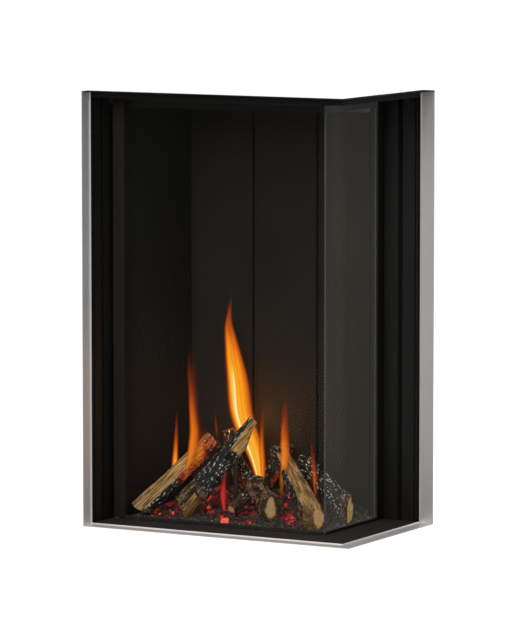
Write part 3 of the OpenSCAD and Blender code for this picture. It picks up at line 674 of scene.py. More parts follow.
@dataclass(frozen=True)
class FlameBody(Finish):
    """A gas flame: an orange body that thins out at its edges, with a hot thread in it.

    The piece's UV map runs across the flame and up it. seed shifts the pattern, lean moves the
    hottest part sideways, fade is the share of the height over which the foot comes in, edge is
    how soft the sides are, and tip is the height at which the top starts to thin.
    """

    heat: float
    density: float
    seed: float
    thread_foot: float = 0.5
    thread_top: float = 0.5
    thread_heat: float = 0.0
    lean: float = 1.0
    fade: float = 0.14
    red: float = 0.0
    edge: float = 0.9
    tip: float = 0.3

    def build(self) -> Material:
        """Makes the material.

        Returns:
            The material.
        """
        g = Graph(self.name)
        across, up = g.axis(0, Coords.UV), g.axis(1, Coords.UV)
        own = {"origin": (self.seed, self.seed * 0.37, 0.0), "source": Coords.UV}
        silk = g.grain((0.16, 1.1, 1), 2, warp=0.2, **own)
        tatter = g.grain((0.35, 0.3, 1), 3, warp=0.6, **own)
        middle = 1 - 2 * (across.clamp() ** self.lean - 0.5).size()
        top = 1 - (up + (tatter - 0.5) * 0.2).rise(self.tip, 0.98)
        line = self.thread_foot + (self.thread_top - self.thread_foot) * up
        thread = (1 - (across - line).size().rise(0.0, 0.06)) * self.thread_heat
        thread = thread * up.rise(0.0, 0.1) * (1 - up.rise(0.36, 0.62))
        body = middle.rise(0.0, self.edge + 0.1)
        core = body * (0.6 + 0.6 * silk) * (0.15 + 0.85 * top) * self.heat
        tone = g.ramp((core + thread * 0.5).clamp(), [
            (0.0, (0.1, 0.008, 0.001)), (0.2, (0.3, 0.035, 0.003)), (0.42, (0.68, 0.12, 0.005)),
            (0.62, (0.93, 0.25, 0.007)), (0.84, (1.0, 0.37, 0.012)), (0.93, (1.0, 0.56, 0.07)),
            (1.0, (1.0, 0.84, 0.36))])
        tone = g.mix(tone, g.mix((0.3, 0.008, 0.01), (0.86, 0.045, 0.035), core), self.red)
        veil = middle.rise(0.0, self.edge) * up.rise(0.0, self.fade) * (0.25 + 0.75 * top)
        veil = veil * (0.45 + 0.9 * silk) * top.rise(0.0, 0.14) * self.density + thread * 0.8
        return g.finish(g.shader({
            "Base Color": (0.0, 0.0, 0.0), "Roughness": 1.0, "Specular IOR Level": 0.0,
            "Emission Color": tone, "Emission Strength": 1.0, "Alpha": veil.clamp()}))


# ---- Modelling helpers ----

class Part(Enum):
    """What is selected in edit mode."""

    EDGE = "EDGE"
    FACE = "FACE"


class Ends(Enum):
    """How the ends of a rod are filled."""

    FLAT = "NGON"
    FAN = "TRIFAN"


def start_clean() -> None:
    """Leaves nothing selected, because an operator acts on all that is."""
    bpy.ops.object.select_all(action="DESELECT")


def settle() -> None:
    """Moves the place of a new primitive into its mesh."""
    bpy.ops.object.transform_apply(location=True, rotation=True, scale=True)


@contextmanager
def editing(piece: Piece, kind: Part) -> Iterator[None]:
    """Edit mode on one piece, with nothing selected.

    Args:
        piece: the piece.
        kind: what is selected in it.
    """
    start_clean()
    piece.select_set(True)
    bpy.context.view_layer.objects.active = piece
    bpy.ops.object.mode_set(mode="EDIT")
    bpy.ops.mesh.select_mode(type=kind.value)
    bpy.ops.mesh.select_all(action="DESELECT")
    yield
    bpy.ops.object.mode_set(mode="OBJECT")


def pick(piece: Piece, kind: Part, test: Callable[[Any], bool]) -> None:
    """Selects the edges or faces of an edited piece that pass a test.

    Args:
        piece: the piece, in edit mode.
        kind: whether edges or faces are tested.
        test: says whether one is selected.
    """
    shape = bmesh.from_edit_mesh(piece.data)
    for part in shape.edges if kind is Part.EDGE else shape.faces:
        if test(part):
            part.select_set(True)
    bmesh.update_edit_mesh(piece.data)


def rod(sides: int, rings: int, ends: Ends) -> Piece:
    """A cylinder of radius and height 1 that stands on the origin.

    Args:
        sides: how many sides it has.
        rings: how many rings run round it.
        ends: how its ends are filled.

    Returns:
        The cylinder.
    """
    start_clean()
    bpy.ops.mesh.primitive_cylinder_add(vertices=sides, radius=1, depth=1,
                                        location=(0, 0, 0.5), end_fill_type=ends.value)
    settle()
    piece = bpy.context.object
    with editing(piece, Part.EDGE):
        pick(piece, Part.EDGE, lambda e: abs(e.verts[0].co.z - e.verts[1].co.z) > 0.5)
        bpy.ops.mesh.subdivide(number_cuts=rings)
    return piece


def read_points(piece: Piece) -> Array:
    """Reads the corners of a mesh.

    Args:
        piece: the piece.

    Returns:
        One row a corner.
    """
    flat = np.empty(len(piece.data.vertices) * 3)
    piece.data.vertices.foreach_get("co", flat)
    return flat.reshape(-1, 3)


def write_points(piece: Piece, points: Array) -> None:
    """Moves the corners of a mesh."""
    piece.data.vertices.foreach_set("co", np.ascontiguousarray(points).ravel())
    piece.data.update()


def write_mask(piece: Piece, name: str, values: Array) -> None:
    """Stores a value for each corner, for the piece's finish to read."""
    mask = piece.data.attributes.new(name, "FLOAT", "POINT")
    mask.data.foreach_set("value", np.clip(values, 0, 1).astype(np.float32))


def smooth(value: Array, low: float, high: float) -> Array:
    """Smooth step from 0 at low to 1 at high."""
    t = np.clip((value - low) / (high - low), 0, 1)
    return t * t * (3 - 2 * t)


def dress(piece: Piece, material: Material) -> None:
    """Gives a piece one material."""
    piece.data.materials.clear()
    piece.data.materials.append(material)


class Ripple:
    """Smooth random heights on a sheet that closes on itself one way."""

    def __init__(self, seed: int) -> None:
        """Keeps its own random numbers."""
        self.random = np.random.default_rng(seed)

    def layer(self, around: Array, along: Array, cells: tuple[int, int]) -> Array:
        """One layer from -1 to 1.

        Args:
            around: 0 to 1, closing on itself.
            along: 0 to 1.
            cells: how many random heights there are each way.

        Returns:
            A height for each point.
        """
        grid = self.random.uniform(-1, 1, (cells[0], cells[1] + 2))
        x = (around % 1) * cells[0]
        y = np.clip(along, 0, 1) * cells[1]
        i = x.astype(int) % cells[0]
        j = y.astype(int)
        fx = smooth(x - np.floor(x), 0, 1)
        fy = smooth(y - j, 0, 1)
        k = (i + 1) % cells[0]
        near = grid[i, j] * (1 - fx) + grid[k, j] * fx
        far = grid[i, j + 1] * (1 - fx) + grid[k, j + 1] * fx
        return near * (1 - fy) + far * fy


# ---- The fire's own measures ----

class Corner:
    """The places that the fire is measured from."""

    def __init__(self) -> None:
        """Finds the frame's front right bottom corner and the fuel bed's box."""
        low, high = CAD_BOX
        self.origin = Vector((high[0], low[1], low[2]))
        self.bed_low, self.bed_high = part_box("ember_bed")

    def in_bed(self, share: Triple, level: float) -> Vector:
        """A place in the bed.

        Args:
            share: share of the bed's width from the left, share of its depth from the
                front, and height above the terrace in millimetres.
            level: the terrace's height in millimetres.

        Returns:
            The place.
        """
        size = self.bed_high - self.bed_low
        return Vector((self.bed_low.x + share[0] * size.x, self.bed_low.y + share[1] * size.y,
                       (level + share[2]) * MM))


# ---- Logs ----

class Skin:
    """The surface of one log's blank, with the log's own random numbers.

    angle and around say where each point lies round the axis, in radians and as a share,
    along is its share of the length and rim its share of the radius; wall is 1 on the side
    and 0 on the sawn ends.
    """

    def __init__(self, blank: Piece, seed: int) -> None:
        """Reads the blank's points.

        Args:
            blank: the log's own copy of the blank.
            seed: starts its random numbers.
        """
        unit = read_points(blank)
        self.angle = np.arctan2(unit[:, 1], unit[:, 0])
        self.around = (self.angle / TURN) % 1
        self.along = np.clip(unit[:, 2], 0, 1)
        self.rim = np.hypot(unit[:, 0], unit[:, 1])
        self.wall = smooth(self.rim, 0.9, 1.0)
        self.ripple = Ripple(seed)

    def side(self, around: int, along: int, twist: float | Array = 0.0) -> Array:
        """Random heights over the side: so many cells round and along it."""
        return self.ripple.layer(self.around, self.along + twist, (around, along))

    def end(self, around: int, outwards: int) -> Array:
        """Random heights over the sawn ends: so many cells round and outwards."""
        return self.ripple.layer(self.around, self.rim, (around, outwards))

    def towards(self, degrees: float) -> Array:
        """1 at an angle round the axis, down to -1 opposite it."""
        return np.cos(self.angle - math.radians(degrees))


@dataclass(frozen=True)
class Facet:
    """A flat split face along a log, at an angle round it and a share of its radius."""

    angle: float
    depth: float
    start: float = -1.0
    end: float = 2.0
    fade: float = 0.05

    def cut(self, radius: Array, skin: Skin) -> tuple[Array, Array]:
        """Cuts the face off a log's section.

        Args:
            radius: the log's radius at each point.
            skin: the log's surface.

        Returns:
            The new radius, and how far each point lies in the face, from 0 to 1.
        """
        wave = 1 + 0.05 * skin.side(3, 5)
        flat = radius * self.depth * wave / np.maximum(skin.towards(self.angle), 0.04)
        window = smooth(skin.along, self.start, self.start + self.fade)
        window = window * (1 - smooth(skin.along, self.end - self.fade, self.end))
        flat = flat + (1 - window) * radius * 3
        return np.minimum(radius, flat), smooth(radius - flat, -0.4 * MM, 0.8 * MM)


@dataclass(frozen=True)
class Patch:
    """A stretch of a log's surface, by its angle round the axis and its length.

    Its sides fade over blur degrees.
    """

    angle: float
    half: float
    start: float
    end: float
    amount: float = 1.0
    blur: float = 28.0

    def mask(self, skin: Skin) -> Array:
        """How much of the patch each point gets.

        Args:
            skin: the log's surface.

        Returns:
            0 outside to the patch's amount inside.
        """
        off = np.abs((skin.around * 360 - self.angle + 180) % 360 - 180)
        side = 1 - smooth(off, self.half, self.half + self.blur)
        ends = smooth(skin.along, self.start - 0.08, self.start + 0.06)
        ends = ends * (1 - smooth(skin.along, self.end - 0.06, self.end + 0.08))
        return self.amount * side * ends


def strongest(patches: tuple[Patch, ...], skin: Skin) -> Array:
    """The strongest of some patches at each point, or 0."""
    return np.max([np.zeros(len(skin.rim)), *(patch.mask(skin) for patch in patches)], axis=0)


@dataclass
class CastLog:
    """One cast log: a rough branch with split faces, bark, char and cut ends.

    foot and tip are places in the bed. taper holds where the tip starts to narrow, by how much
    and towards which angle. slant leans the sawn foot towards an angle. oval is the pale part
    of a sawn end: its middle, half its width and half its height, as shares of the radius.
    """

    name: str
    node: str
    foot: Triple
    tip: Triple
    radii: tuple[float, float]
    level: float
    seed: int
    facets: tuple[Facet, ...] = ()
    chars: tuple[Patch, ...] = ()
    # Patches of painted flame light: where the flames would light the log, it glows orange.
    painted_flame_light_patches: tuple[Patch, ...] = ()
    taper: Triple | None = None
    slant: tuple[float, float] = (0.0, 0.0)
    oval: tuple[float, float, float, float] = (0.0, 0.0, 0.9, 0.9)
    pale_tip: bool = False
    bark_depth: float = 3.2
    sunk: float | None = None
    slot: str = "log_tan"
    tones: dict[str, Any] = field(default_factory=dict)

    def build(self, blank: Piece, corner: Corner) -> Piece:
        """Shapes a copy of the blank into the log.

        Args:
            blank: the rod that each log starts from.
            corner: the fire's measures.

        Returns:
            The finished piece.
        """
        piece = bpy.data.objects.new(self.name, blank.data.copy())
        piece.data.name = self.name
        bpy.context.collection.objects.link(piece)
        foot = corner.in_bed(self.foot, self.level)
        way = corner.in_bed(self.tip, self.level) - foot
        ahead = way.normalized()
        side = Vector((0, 0, 1)).cross(ahead).normalized()
        turn = Matrix((side, ahead.cross(side), ahead))
        local = self._sculpt(piece, way.length)
        write_points(piece, local @ np.array(turn) + np.array(foot))
        self._cut_foot(piece)
        bpy.ops.object.shade_smooth()
        dress(piece, CastWood(f"{self.name}_finish", tuple(foot),
                              tuple(turn.transposed().to_euler("XYZ")), **self.tones).build())
        return piece

    def _sculpt(self, piece: Piece, length: float) -> Array:
        """Gives the blank its section, bark, split faces and ends, and stores the masks.

        Args:
            piece: the copy of the blank.
            length: the log's length in metres.

        Returns:
            The corners, in the log's own axes.
        """
        skin = Skin(piece, self.seed)
        along, rim, wall = skin.along, skin.rim, skin.wall
        radius = (self.radii[0] + (self.radii[1] - self.radii[0]) * along) * MM
        radius = radius * (0.96 + 0.05 * skin.side(4, 3) + 0.03 * skin.side(9, 7))
        split = np.zeros(len(rim))
        for facet in self.facets:
            radius, face = facet.cut(radius, skin)
            split = np.maximum(split, face)
        char = strongest(self.chars, skin)
        relief = self._relief(skin, split, char)
        radius = radius - relief * MM * wall
        centre = np.zeros((len(rim), 2))
        if self.taper:
            start, sharp, towards = self.taper
            narrow = smooth(along, start, 1.0) * sharp
            radius = radius * (1 - narrow * (0.5 + 0.5 * skin.towards(towards) ** 2))
            way = np.array([math.cos(math.radians(towards)), math.sin(math.radians(towards))])
            centre = way * (narrow * self.radii[1] * MM * 0.75)[:, None]

        sign = np.where(along > 0.5, 1.0, -1.0)
        grain = skin.end(40, 9) * 0.7 + skin.end(9, 4) * 1.2
        lean = -self.slant[0] * skin.towards(self.slant[1]) * rim
        lean = lean * (1 - smooth(along, 0, 0.35)) * self.radii[0] * MM
        lengthwise = along * length + (1 - wall) * sign * grain * MM + lean
        brim = smooth(np.abs(along - 0.5), 0.44, 0.5) * 0.6 * MM
        lengthwise = lengthwise + sign * wall * skin.side(24, 3) * brim

        bare = np.where(along < 0.5, 1.0, float(self.pale_tip))
        # Besides the wood's own marks, these masks hold painted flame light and painted fissure
        # shade.
        masks = {"bark": 1 - split, "char": char, "cut": (1 - wall) * (rim < 0.93),
                 "pale": self._pale(skin) * bare, "painted_flame_light": strongest(self.painted_flame_light_patches, skin),
                 # Painted shade: the deepest fissures of the relief are darkened.
                 "painted_fissure_shade": smooth(relief, 1.5, 3.4) * wall}
        for name, values in masks.items():
            write_mask(piece, name, values)
        flatwise = (rim * radius)[:, None] * np.stack([np.cos(skin.angle), np.sin(skin.angle)], 1)
        return np.column_stack([flatwise + centre, lengthwise])

    def _pale(self, skin: Skin) -> Array:
        """Where a sawn end is pale: an oval that narrows upwards, with a ragged edge.

        Args:
            skin: the log's surface.

        Returns:
            0 to 1 for each point.
        """
        left, rise, half, tall = self.oval
        x = skin.rim * np.cos(skin.angle) - left
        y = skin.rim * np.sin(skin.angle) - rise
        reach = np.hypot(x / (half * (1 - 0.35 * np.clip(y / tall, -1, 1))), y / tall)
        return 1 - smooth(reach + 0.09 * skin.end(14, 3), 0.82, 1.0)

    def _relief(self, skin: Skin, split: Array, char: Array) -> Array:
        """How deep the surface lies below the log's section.

        Args:
            skin: the log's surface.
            split: how much split wood each point gets in place of bark.
            char: how much char it gets.

        Returns:
            The depth of each point in millimetres.
        """
        twist = 0.03 * skin.side(8, 6)
        fissure = (1 - np.abs(skin.side(15, 9, twist))) ** 3
        crumbs = skin.side(46, 60) * 0.5 + 0.5
        bark = self.bark_depth * fissure + 1.3 * crumbs
        fibres = skin.side(58, 7, twist) * 0.5 + 0.5
        steps = smooth(skin.side(13, 4), 0.15, 0.3)
        checks = smooth(skin.side(30, 3, twist), 0.62, 0.8)
        wood = 0.6 * fibres + 0.9 * steps + 0.3 * crumbs + 1.8 * checks
        blocks = np.abs(skin.side(17, 26, twist))
        coal = 2.6 * (1 - blocks) ** 2.2 + 1.6 * crumbs
        plain = wood * split + bark * (1 - split)
        return plain * (1 - char) + coal * char

    def _cut_foot(self, piece: Piece) -> None:
        """Cuts the foot flat where it stands in the bed.

        Args:
            piece: the log.
        """
        level = self.level + 0.3 if self.sunk is None else self.sunk
        with editing(piece, Part.FACE):
            bpy.ops.mesh.select_all(action="SELECT")
            bpy.ops.mesh.bisect(plane_co=(0, 0, level * MM), plane_no=(0, 0, 1),
                                use_fill=True, clear_inner=True)


@dataclass
class LogPile:
    """The five long logs, the two stubs behind them and a branch at the centre log's foot.

    Their ends and radii are those of the solids that they stand for.
    """

    corner: Corner
    sides: int = 120
    rings: int = 150
    insets: int = 6
    first_inset: float = 0.06
    next_inset: float = 0.13
    logs: tuple[CastLog, ...] = (
        CastLog("cast_log_back_left", "log_back_left", (0.051, 0.094, 18), (0.289, 0.499, 157),
                (25, 22), 5, 11, slant=(0.45, 120),
                facets=(Facet(126, 0.62), Facet(82, 0.84), Facet(172, 0.86, 0.0, 0.5)),
                chars=(Patch(232, 36, 0.03, 1.0, 0.85), Patch(165, 50, 0.84, 1.1, 0.75)),
                painted_flame_light_patches=(Patch(200, 24, 0.46, 0.84, 0.68), Patch(150, 40, 0.86, 1.0, 0.75))),
        CastLog("cast_log_front_left", "log_front_left", (0.26, 0.109, 20), (0.504, 0.499, 199),
                (30, 20), 5, 23, taper=(0.72, 0.5, 95), slant=(0.35, 250), slot="log_charred",
                facets=(Facet(206, 0.55, 0.5, 1.2, 0.08), Facet(150, 0.72, 0.6, 1.2),
                        Facet(238, 0.5, -0.2, 0.3, 0.12), Facet(196, 0.74, -0.2, 0.22)),
                chars=(Patch(160, 100, 0.26, 0.66), Patch(96, 30, 0.62, 1.02, 0.9)),
                pale_tip=True, tones={"tan_light": (1.0, 0.56, 0.19), "flecked": 1.2,
                                      "tan_dark": (0.1, 0.045, 0.012)}),
        CastLog("cast_log_centre", "log_centre", (0.657, 0.258, 22), (0.388, 0.63, 98),
                (29, 22), 14, 37, slant=(0.42, 270), slot="log_charred", bark_depth=4.0,
                sunk=6.0, oval=(0.02, 0.08, 0.42, 0.78),
                facets=(Facet(142, 0.32, 0.42, 1.2, 0.12),),
                chars=(Patch(156, 44, 0.05, 1.1, 0.86), Patch(84, 60, 0.5, 1.1, 0.75),
                       Patch(20, 30, 0.6, 1.1, 0.7)), painted_flame_light_patches=(Patch(-24, 30, 0.35, 0.75, 0.3),),
                tones={"tan_light": (1.0, 0.68, 0.33), "tan_dark": (0.55, 0.28, 0.1),
                       "bark_light": (0.42, 0.22, 0.1), "flecked": 0.85}),
        CastLog("cast_branch_centre", "log_centre", (0.479, 0.186, 17), (0.52, 0.41, 50),
                (11, 16), 14, 43, chars=(Patch(0, 180, 0.5, 1.1, 0.45),), slot="log_charred",
                bark_depth=2.0, sunk=8.0, oval=(0.0, 0.1, 0.9, 1.0),
                tones={"tan_light": (0.95, 0.52, 0.2), "bark_light": (0.22, 0.09, 0.04)}),
        CastLog("cast_log_right", "log_right", (0.924, 0.085, 27), (0.555, 0.68, 136),
                (28, 21), 5, 41, facets=(Facet(88, 0.66), Facet(140, 0.84, -0.3, 0.14)),
                chars=(Patch(-6, 34, 0.12, 1.1, 0.7), Patch(30, 60, 0.9, 1.2, 0.8),
                       Patch(172, 22, 0.2, 1.1, 0.42)),
                slant=(0.456, 270), oval=(-0.62, 0.18, 0.62, 1.1),
                tones={"rim_dark": (0.07, 0.032, 0.01), "rim_light": (0.36, 0.19, 0.07),
                       "tan_light": (0.8, 0.46, 0.19), "tan_dark": (0.1, 0.045, 0.014),
                       "flecked": 0.75}),
        CastLog("cast_log_far_right", "log_far_right", (0.966, 0.533, 26), (0.636, 0.824, 106),
                (28, 23), 5, 53, facets=(Facet(150, 0.8),),
                chars=(Patch(60, 70, 0.1, 1.1, 0.65),), slant=(1.0, -27), slot="log_charred",
                bark_depth=3.8, tones={"tan_light": (1.0, 0.64, 0.2), "flecked": 1.3}),
        CastLog("cast_stub_left", "log_rear_stubs", (0.324, 0.834, 3), (0.268, 0.779, 131),
                (19, 17), 40, 61, facets=(Facet(-90, 0.8, 0.0, 0.8),),
                chars=(Patch(0, 60, 0.7, 1.1, 0.8), Patch(200, 60, 0.1, 0.6, 0.7)),
                painted_flame_light_patches=(Patch(-60, 60, 0.3, 0.9, 0.32),), slot="log_charred"),
        CastLog("cast_stub_right", "log_rear_stubs", (0.418, 0.859, 10), (0.547, 0.866, 107),
                (20, 17), 40, 73, chars=(Patch(0, 180, 0.0, 1.1, 0.9),), slot="log_charred",
                painted_flame_light_patches=(Patch(-60, 60, 0.1, 0.9, 0.5),), tones={"flecked": 0.7}))

    def build(self) -> list[Piece]:
        """Makes every log and puts it in place of its solid.

        Returns:
            The logs.
        """
        blank = self._blank()
        pieces = []
        for each in self.logs:
            piece = each.build(blank, self.corner)
            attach(piece, "root")
            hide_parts(each.node)
            pieces.append(piece)
        bpy.data.objects.remove(blank)
        return pieces

    def _blank(self) -> Piece:
        """Makes the rod with ringed ends that each log starts from.

        Returns:
            The rod.
        """
        piece = rod(self.sides, self.rings, Ends.FLAT)
        with editing(piece, Part.FACE):
            pick(piece, Part.FACE, lambda f: abs(f.normal.z) > 0.9)
            bpy.ops.mesh.inset(thickness=self.first_inset, use_individual=True)
            for _ in range(self.insets):
                bpy.ops.mesh.inset(thickness=self.next_inset, use_individual=True)
            bpy.ops.mesh.poke()
        return piece


# ---- Fuel bed ----

def scatter(name: str, chip: Piece, places: Array, sizes: Array, mask: str, values: Array,
            seed: int) -> Piece:
    """Repeats one chip, then turns, dents and lays each copy.

    Args:
        name: the piece's name.
        chip: a chip of radius 1 at the origin, which becomes the piece.
        places: one row a chip.
        sizes: radius of each chip.
        mask: the mask that the piece's finish reads.
        values: the mask's value on each chip.
        seed: makes the same heap each time.

    Returns:
        The joined piece.
    """
    random = np.random.default_rng(seed)
    kinds = 9
    chip.name = name
    corners = read_points(chip)
    start_clean()
    chip.select_set(True)
    bpy.context.view_layer.objects.active = chip
    repeat = chip.modifiers.new("repeat", "ARRAY")
    repeat.count = len(places)
    repeat.use_relative_offset = False
    bpy.ops.object.modifier_apply(modifier=repeat.name)
    dents = corners[None] * random.uniform(0.66, 1.15, (kinds, len(corners), 1))
    dents = dents * random.uniform(0.72, 1.12, (kinds, 1, 3))
    spin = random.normal(size=(len(places), 4))
    w, x, y, z = (spin / np.linalg.norm(spin, axis=1)[:, None]).T
    turn = np.stack([
        np.stack([1 - 2 * (y * y + z * z), 2 * (x * y - z * w), 2 * (x * z + y * w)], 1),
        np.stack([2 * (x * y + z * w), 1 - 2 * (x * x + z * z), 2 * (y * z - x * w)], 1),
        np.stack([2 * (x * z - y * w), 2 * (y * z + x * w), 1 - 2 * (x * x + y * y)], 1)], 1)
    chosen = dents[random.integers(0, kinds, len(places))] * sizes[:, None, None]
    points = np.einsum("nij,nkj->nki", turn, chosen) + places[:, None, :]
    write_points(chip, points.reshape(-1, 3))
    write_mask(chip, mask, np.repeat(values, len(corners)))
    return chip


@dataclass
class FuelBed:
    """The heap of granulate and its loose chips.

    heap_line holds the heap's height in millimetres at shares of the bed's depth. The slopes are
    shares of its width, and the other sizes are in millimetres too. The seeds are those of the
    heap's bumps, of the chips' places and of their turns.
    """

    corner: Corner
    chips: int = 7600
    chip_radii: tuple[float, float] = (1.5, 3.4)
    seeds: tuple[int, int, int] = (5, 19, 7)
    cells: tuple[int, int] = (190, 120)
    heap_line: tuple[tuple[float, float], ...] = (
        (0, 4.9), (0.1, 5.3), (0.25, 7.5), (0.4, 13), (0.55, 20), (0.63, 24), (0.75, 34),
        (0.85, 41), (1, 42.5))
    left_slope: float = 0.12
    right_slope: float = 0.3
    foot_level: float = 4.2
    least_depth: float = 1.0
    base_gap: float = 0.3
    lining_gap: float = 0.3
    lining_reach: float = 0.4
    tray_cover: float = 0.5
    tray_margin: float = 3.0

    def height(self, across: Array, back: Array) -> Array:
        """The heap's height.

        Args:
            across: shares of the bed's width from the left.
            back: shares of its depth from the front.

        Returns:
            The height of each place in metres.
        """
        line = np.array(self.heap_line)
        rise = np.interp(back, line[:, 0], line[:, 1]) - self.foot_level
        sides = smooth(across, -0.04, self.left_slope) * (
            1 - smooth(across, 1 - self.right_slope, 1.04))
        bumps = Ripple(self.seeds[0])
        rough = 1.4 * bumps.layer(across * 0.5, back, (24, 14)) * smooth(back, 0.05, 0.3)
        rough = rough + 0.7 * bumps.layer(across * 0.5, back, (60, 40))
        return (self.foot_level + rise * (0.12 + 0.88 * sides) + rough * (0.35 + 0.65 * sides)) * MM

    def spread(self, across: Array, back: Array) -> tuple[Array, Array]:
        """Places on the bed, which stops short of the right lining board.

        Args:
            across: shares of the bed's width from the left.
            back: shares of its depth from the front.

        Returns:
            The x and y of each place.
        """
        low, high = self.corner.bed_low, self.corner.bed_high
        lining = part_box("right_liner")[0]
        y = low.y + back * (high.y - low.y)
        beside = y > lining.y - self.lining_reach * MM
        right = np.where(beside, lining.x - self.lining_gap * MM, high.x)
        return low.x + across * (right - low.x), y

    def build(self) -> list[Piece]:
        """Makes the heap and the chips, in place of the stepped solid.

        Returns:
            The two pieces.
        """
        finish = Granules("granulate_finish").build()
        pieces = [self._heap(), self._loose_chips()]
        for piece in pieces:
            dress(piece, finish)
            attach(piece, "root")
            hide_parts("ember_bed")
        return pieces

    def _heap(self) -> Piece:
        """Makes the closed body under the chips, which rests on the base and the tray.

        Returns:
            The heap.
        """
        start_clean()
        bpy.ops.mesh.primitive_grid_add(x_subdivisions=self.cells[0],
                                        y_subdivisions=self.cells[1], size=1,
                                        location=(0.5, 0.5, 1))
        piece = bpy.context.object
        piece.name = "granulate_heap"
        settle()
        with editing(piece, Part.FACE):
            bpy.ops.mesh.select_all(action="SELECT")
            bpy.ops.mesh.extrude_region_move(TRANSFORM_OT_translate={"value": (0, 0, -1)})
        unit = read_points(piece)
        x, y = self.spread(unit[:, 0], unit[:, 1])
        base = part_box("base_plate")[1].z + self.base_gap * MM
        tray_low, tray_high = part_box("burner_tray")
        margin = self.tray_margin * MM
        over = (x > tray_low.x - margin) & (x < tray_high.x + margin)
        over &= (y > tray_low.y - margin) & (y < tray_high.y + margin)
        floor = np.where(over, tray_high.z + self.tray_cover * MM, base)
        top = self.height(unit[:, 0], unit[:, 1])
        top = np.maximum(top, floor + self.least_depth * MM)
        write_points(piece, np.column_stack([x, y, np.where(unit[:, 2] > 0.5, top, floor)]))
        write_mask(piece, "shade", np.full(len(unit), 0.25))
        with editing(piece, Part.FACE):
            bpy.ops.mesh.select_all(action="SELECT")
            bpy.ops.mesh.normals_make_consistent(inside=False)
        bpy.ops.object.shade_smooth()
        return piece

    def _loose_chips(self) -> Piece:
        """Makes the chips that lie on the heap, as one piece.

        Returns:
            The chips.
        """
        random = np.random.default_rng(self.seeds[1])
        across = random.uniform(0.006, 0.994, self.chips)
        back = random.uniform(0.004, 0.99, self.chips) ** 1.25
        x, y = self.spread(across, back)
        size = random.uniform(*self.chip_radii, self.chips) * MM
        low, high = self.corner.bed_low, self.corner.bed_high
        x = np.clip(x, low.x + size, high.x - size)
        y = np.clip(y, low.y + size, high.y - size)
        z = self.height(across, back) + size * 0.25
        shade = random.beta(2.2, 3.0, self.chips) * 0.85
        bright = random.random(self.chips) > 0.99
        shade = np.where(bright, random.uniform(0.86, 1.0, self.chips), shade)
        start_clean()
        bpy.ops.mesh.primitive_ico_sphere_add(subdivisions=1, radius=1)
        return scatter("granulate_chips", bpy.context.object, np.column_stack([x, y, z]), size,
                       "shade", shade, self.seeds[2])


@dataclass
class Embers:
    """The glowing ember chips that lie in heaps at the feet of the logs.

    Each heap has its middle in shares of the bed, its reach, its number of chips and its heat.
    Each of the bright chips has its place and its heat, and the last ones have radii of their
    own. Radii are in millimetres. A draw below cold_below makes a chip cold, and one above
    hot_above makes it hot.
    """

    bed: FuelBed
    heaps: tuple[tuple[float, float, float, int, float], ...] = (
        (0.09, 0.24, 0.035, 16, 0.9), (0.17, 0.17, 0.035, 26, 1.0), (0.12, 0.42, 0.05, 24, 0.9),
        (0.22, 0.40, 0.05, 30, 0.9), (0.30, 0.34, 0.045, 30, 0.8), (0.22, 0.66, 0.06, 34, 0.66),
        (0.31, 0.56, 0.05, 34, 0.62), (0.20, 0.80, 0.06, 20, 0.6), (0.38, 0.28, 0.045, 30, 0.74),
        (0.46, 0.40, 0.05, 30, 0.9), (0.59, 0.15, 0.02, 9, 0.8), (0.53, 0.19, 0.03, 9, 0.6),
        (0.58, 0.78, 0.06, 34, 1.0), (0.70, 0.42, 0.045, 24, 0.9), (0.747, 0.24, 0.02, 18, 1.05),
        (0.787, 0.22, 0.022, 16, 1.0), (0.72, 0.6, 0.06, 26, 0.9), (0.45, 0.62, 0.07, 34, 0.8))
    bright: tuple[Triple, ...] = (
        (0.742, 0.26, 1.05), (0.752, 0.22, 1.0), (0.174, 0.2, 0.95), (0.486, 0.066, 1.1),
        (0.497, 0.06, 1.0), (0.476, 0.074, 0.95))
    radii: tuple[float, float] = (2.8, 6.2)
    last_radii: Triple = (6.8, 5.0, 4.2)
    cold_below: float = 0.38
    hot_above: float = 0.88
    seeds: tuple[int, int] = (29, 31)

    def build(self) -> list[Piece]:
        """Makes the embers, in place of the plain ones.

        Returns:
            The one piece that holds them all.
        """
        random = np.random.default_rng(self.seeds[0])
        rows = []
        for across, back, reach, count, heat in self.heaps:
            spot = random.normal(size=(count, 2)) * (reach * 0.55, reach * 0.8)
            chance = random.random(count)
            warm = np.where(chance > self.hot_above, random.uniform(0.8, 1.05, count),
                            random.uniform(0.34, 0.66, count))
            cold = random.uniform(0.0, 0.3, count)
            warm = heat * np.where(chance < self.cold_below, cold, warm)
            rows.append(np.column_stack([across + spot[:, 0], back + spot[:, 1], warm]))
        table = np.vstack([*rows, np.array(self.bright)])
        across, back = np.clip(table[:, 0], 0.04, 0.93), np.clip(table[:, 1], 0.04, 0.95)
        size = random.uniform(*self.radii, len(table)) * MM
        size[-len(self.last_radii):] = np.array(self.last_radii) * MM
        x, y = self.bed.spread(across, back)
        z = np.maximum(self.bed.height(across, back) + size * 0.45, size * 1.1 + 2 * MM)
        piece = scatter("ember_chips", self._block(), np.column_stack([x, y, z]), size,
                        "warmth", table[:, 2], self.seeds[1])
        dress(piece, LiveEmber("live_ember_finish").build())
        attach(piece, "root")
        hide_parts("glowing_embers")
        return [piece]

    def _block(self) -> Piece:
        """Makes a rounded block of two dozen faces.

        Returns:
            The block.
        """
        start_clean()
        bpy.ops.mesh.primitive_cube_add(size=1.5)
        chip = bpy.context.object
        with editing(chip, Part.EDGE):
            bpy.ops.mesh.select_all(action="SELECT")
            bpy.ops.mesh.subdivide(number_cuts=1, smoothness=0.8)
        return chip


# ---- Flames ----

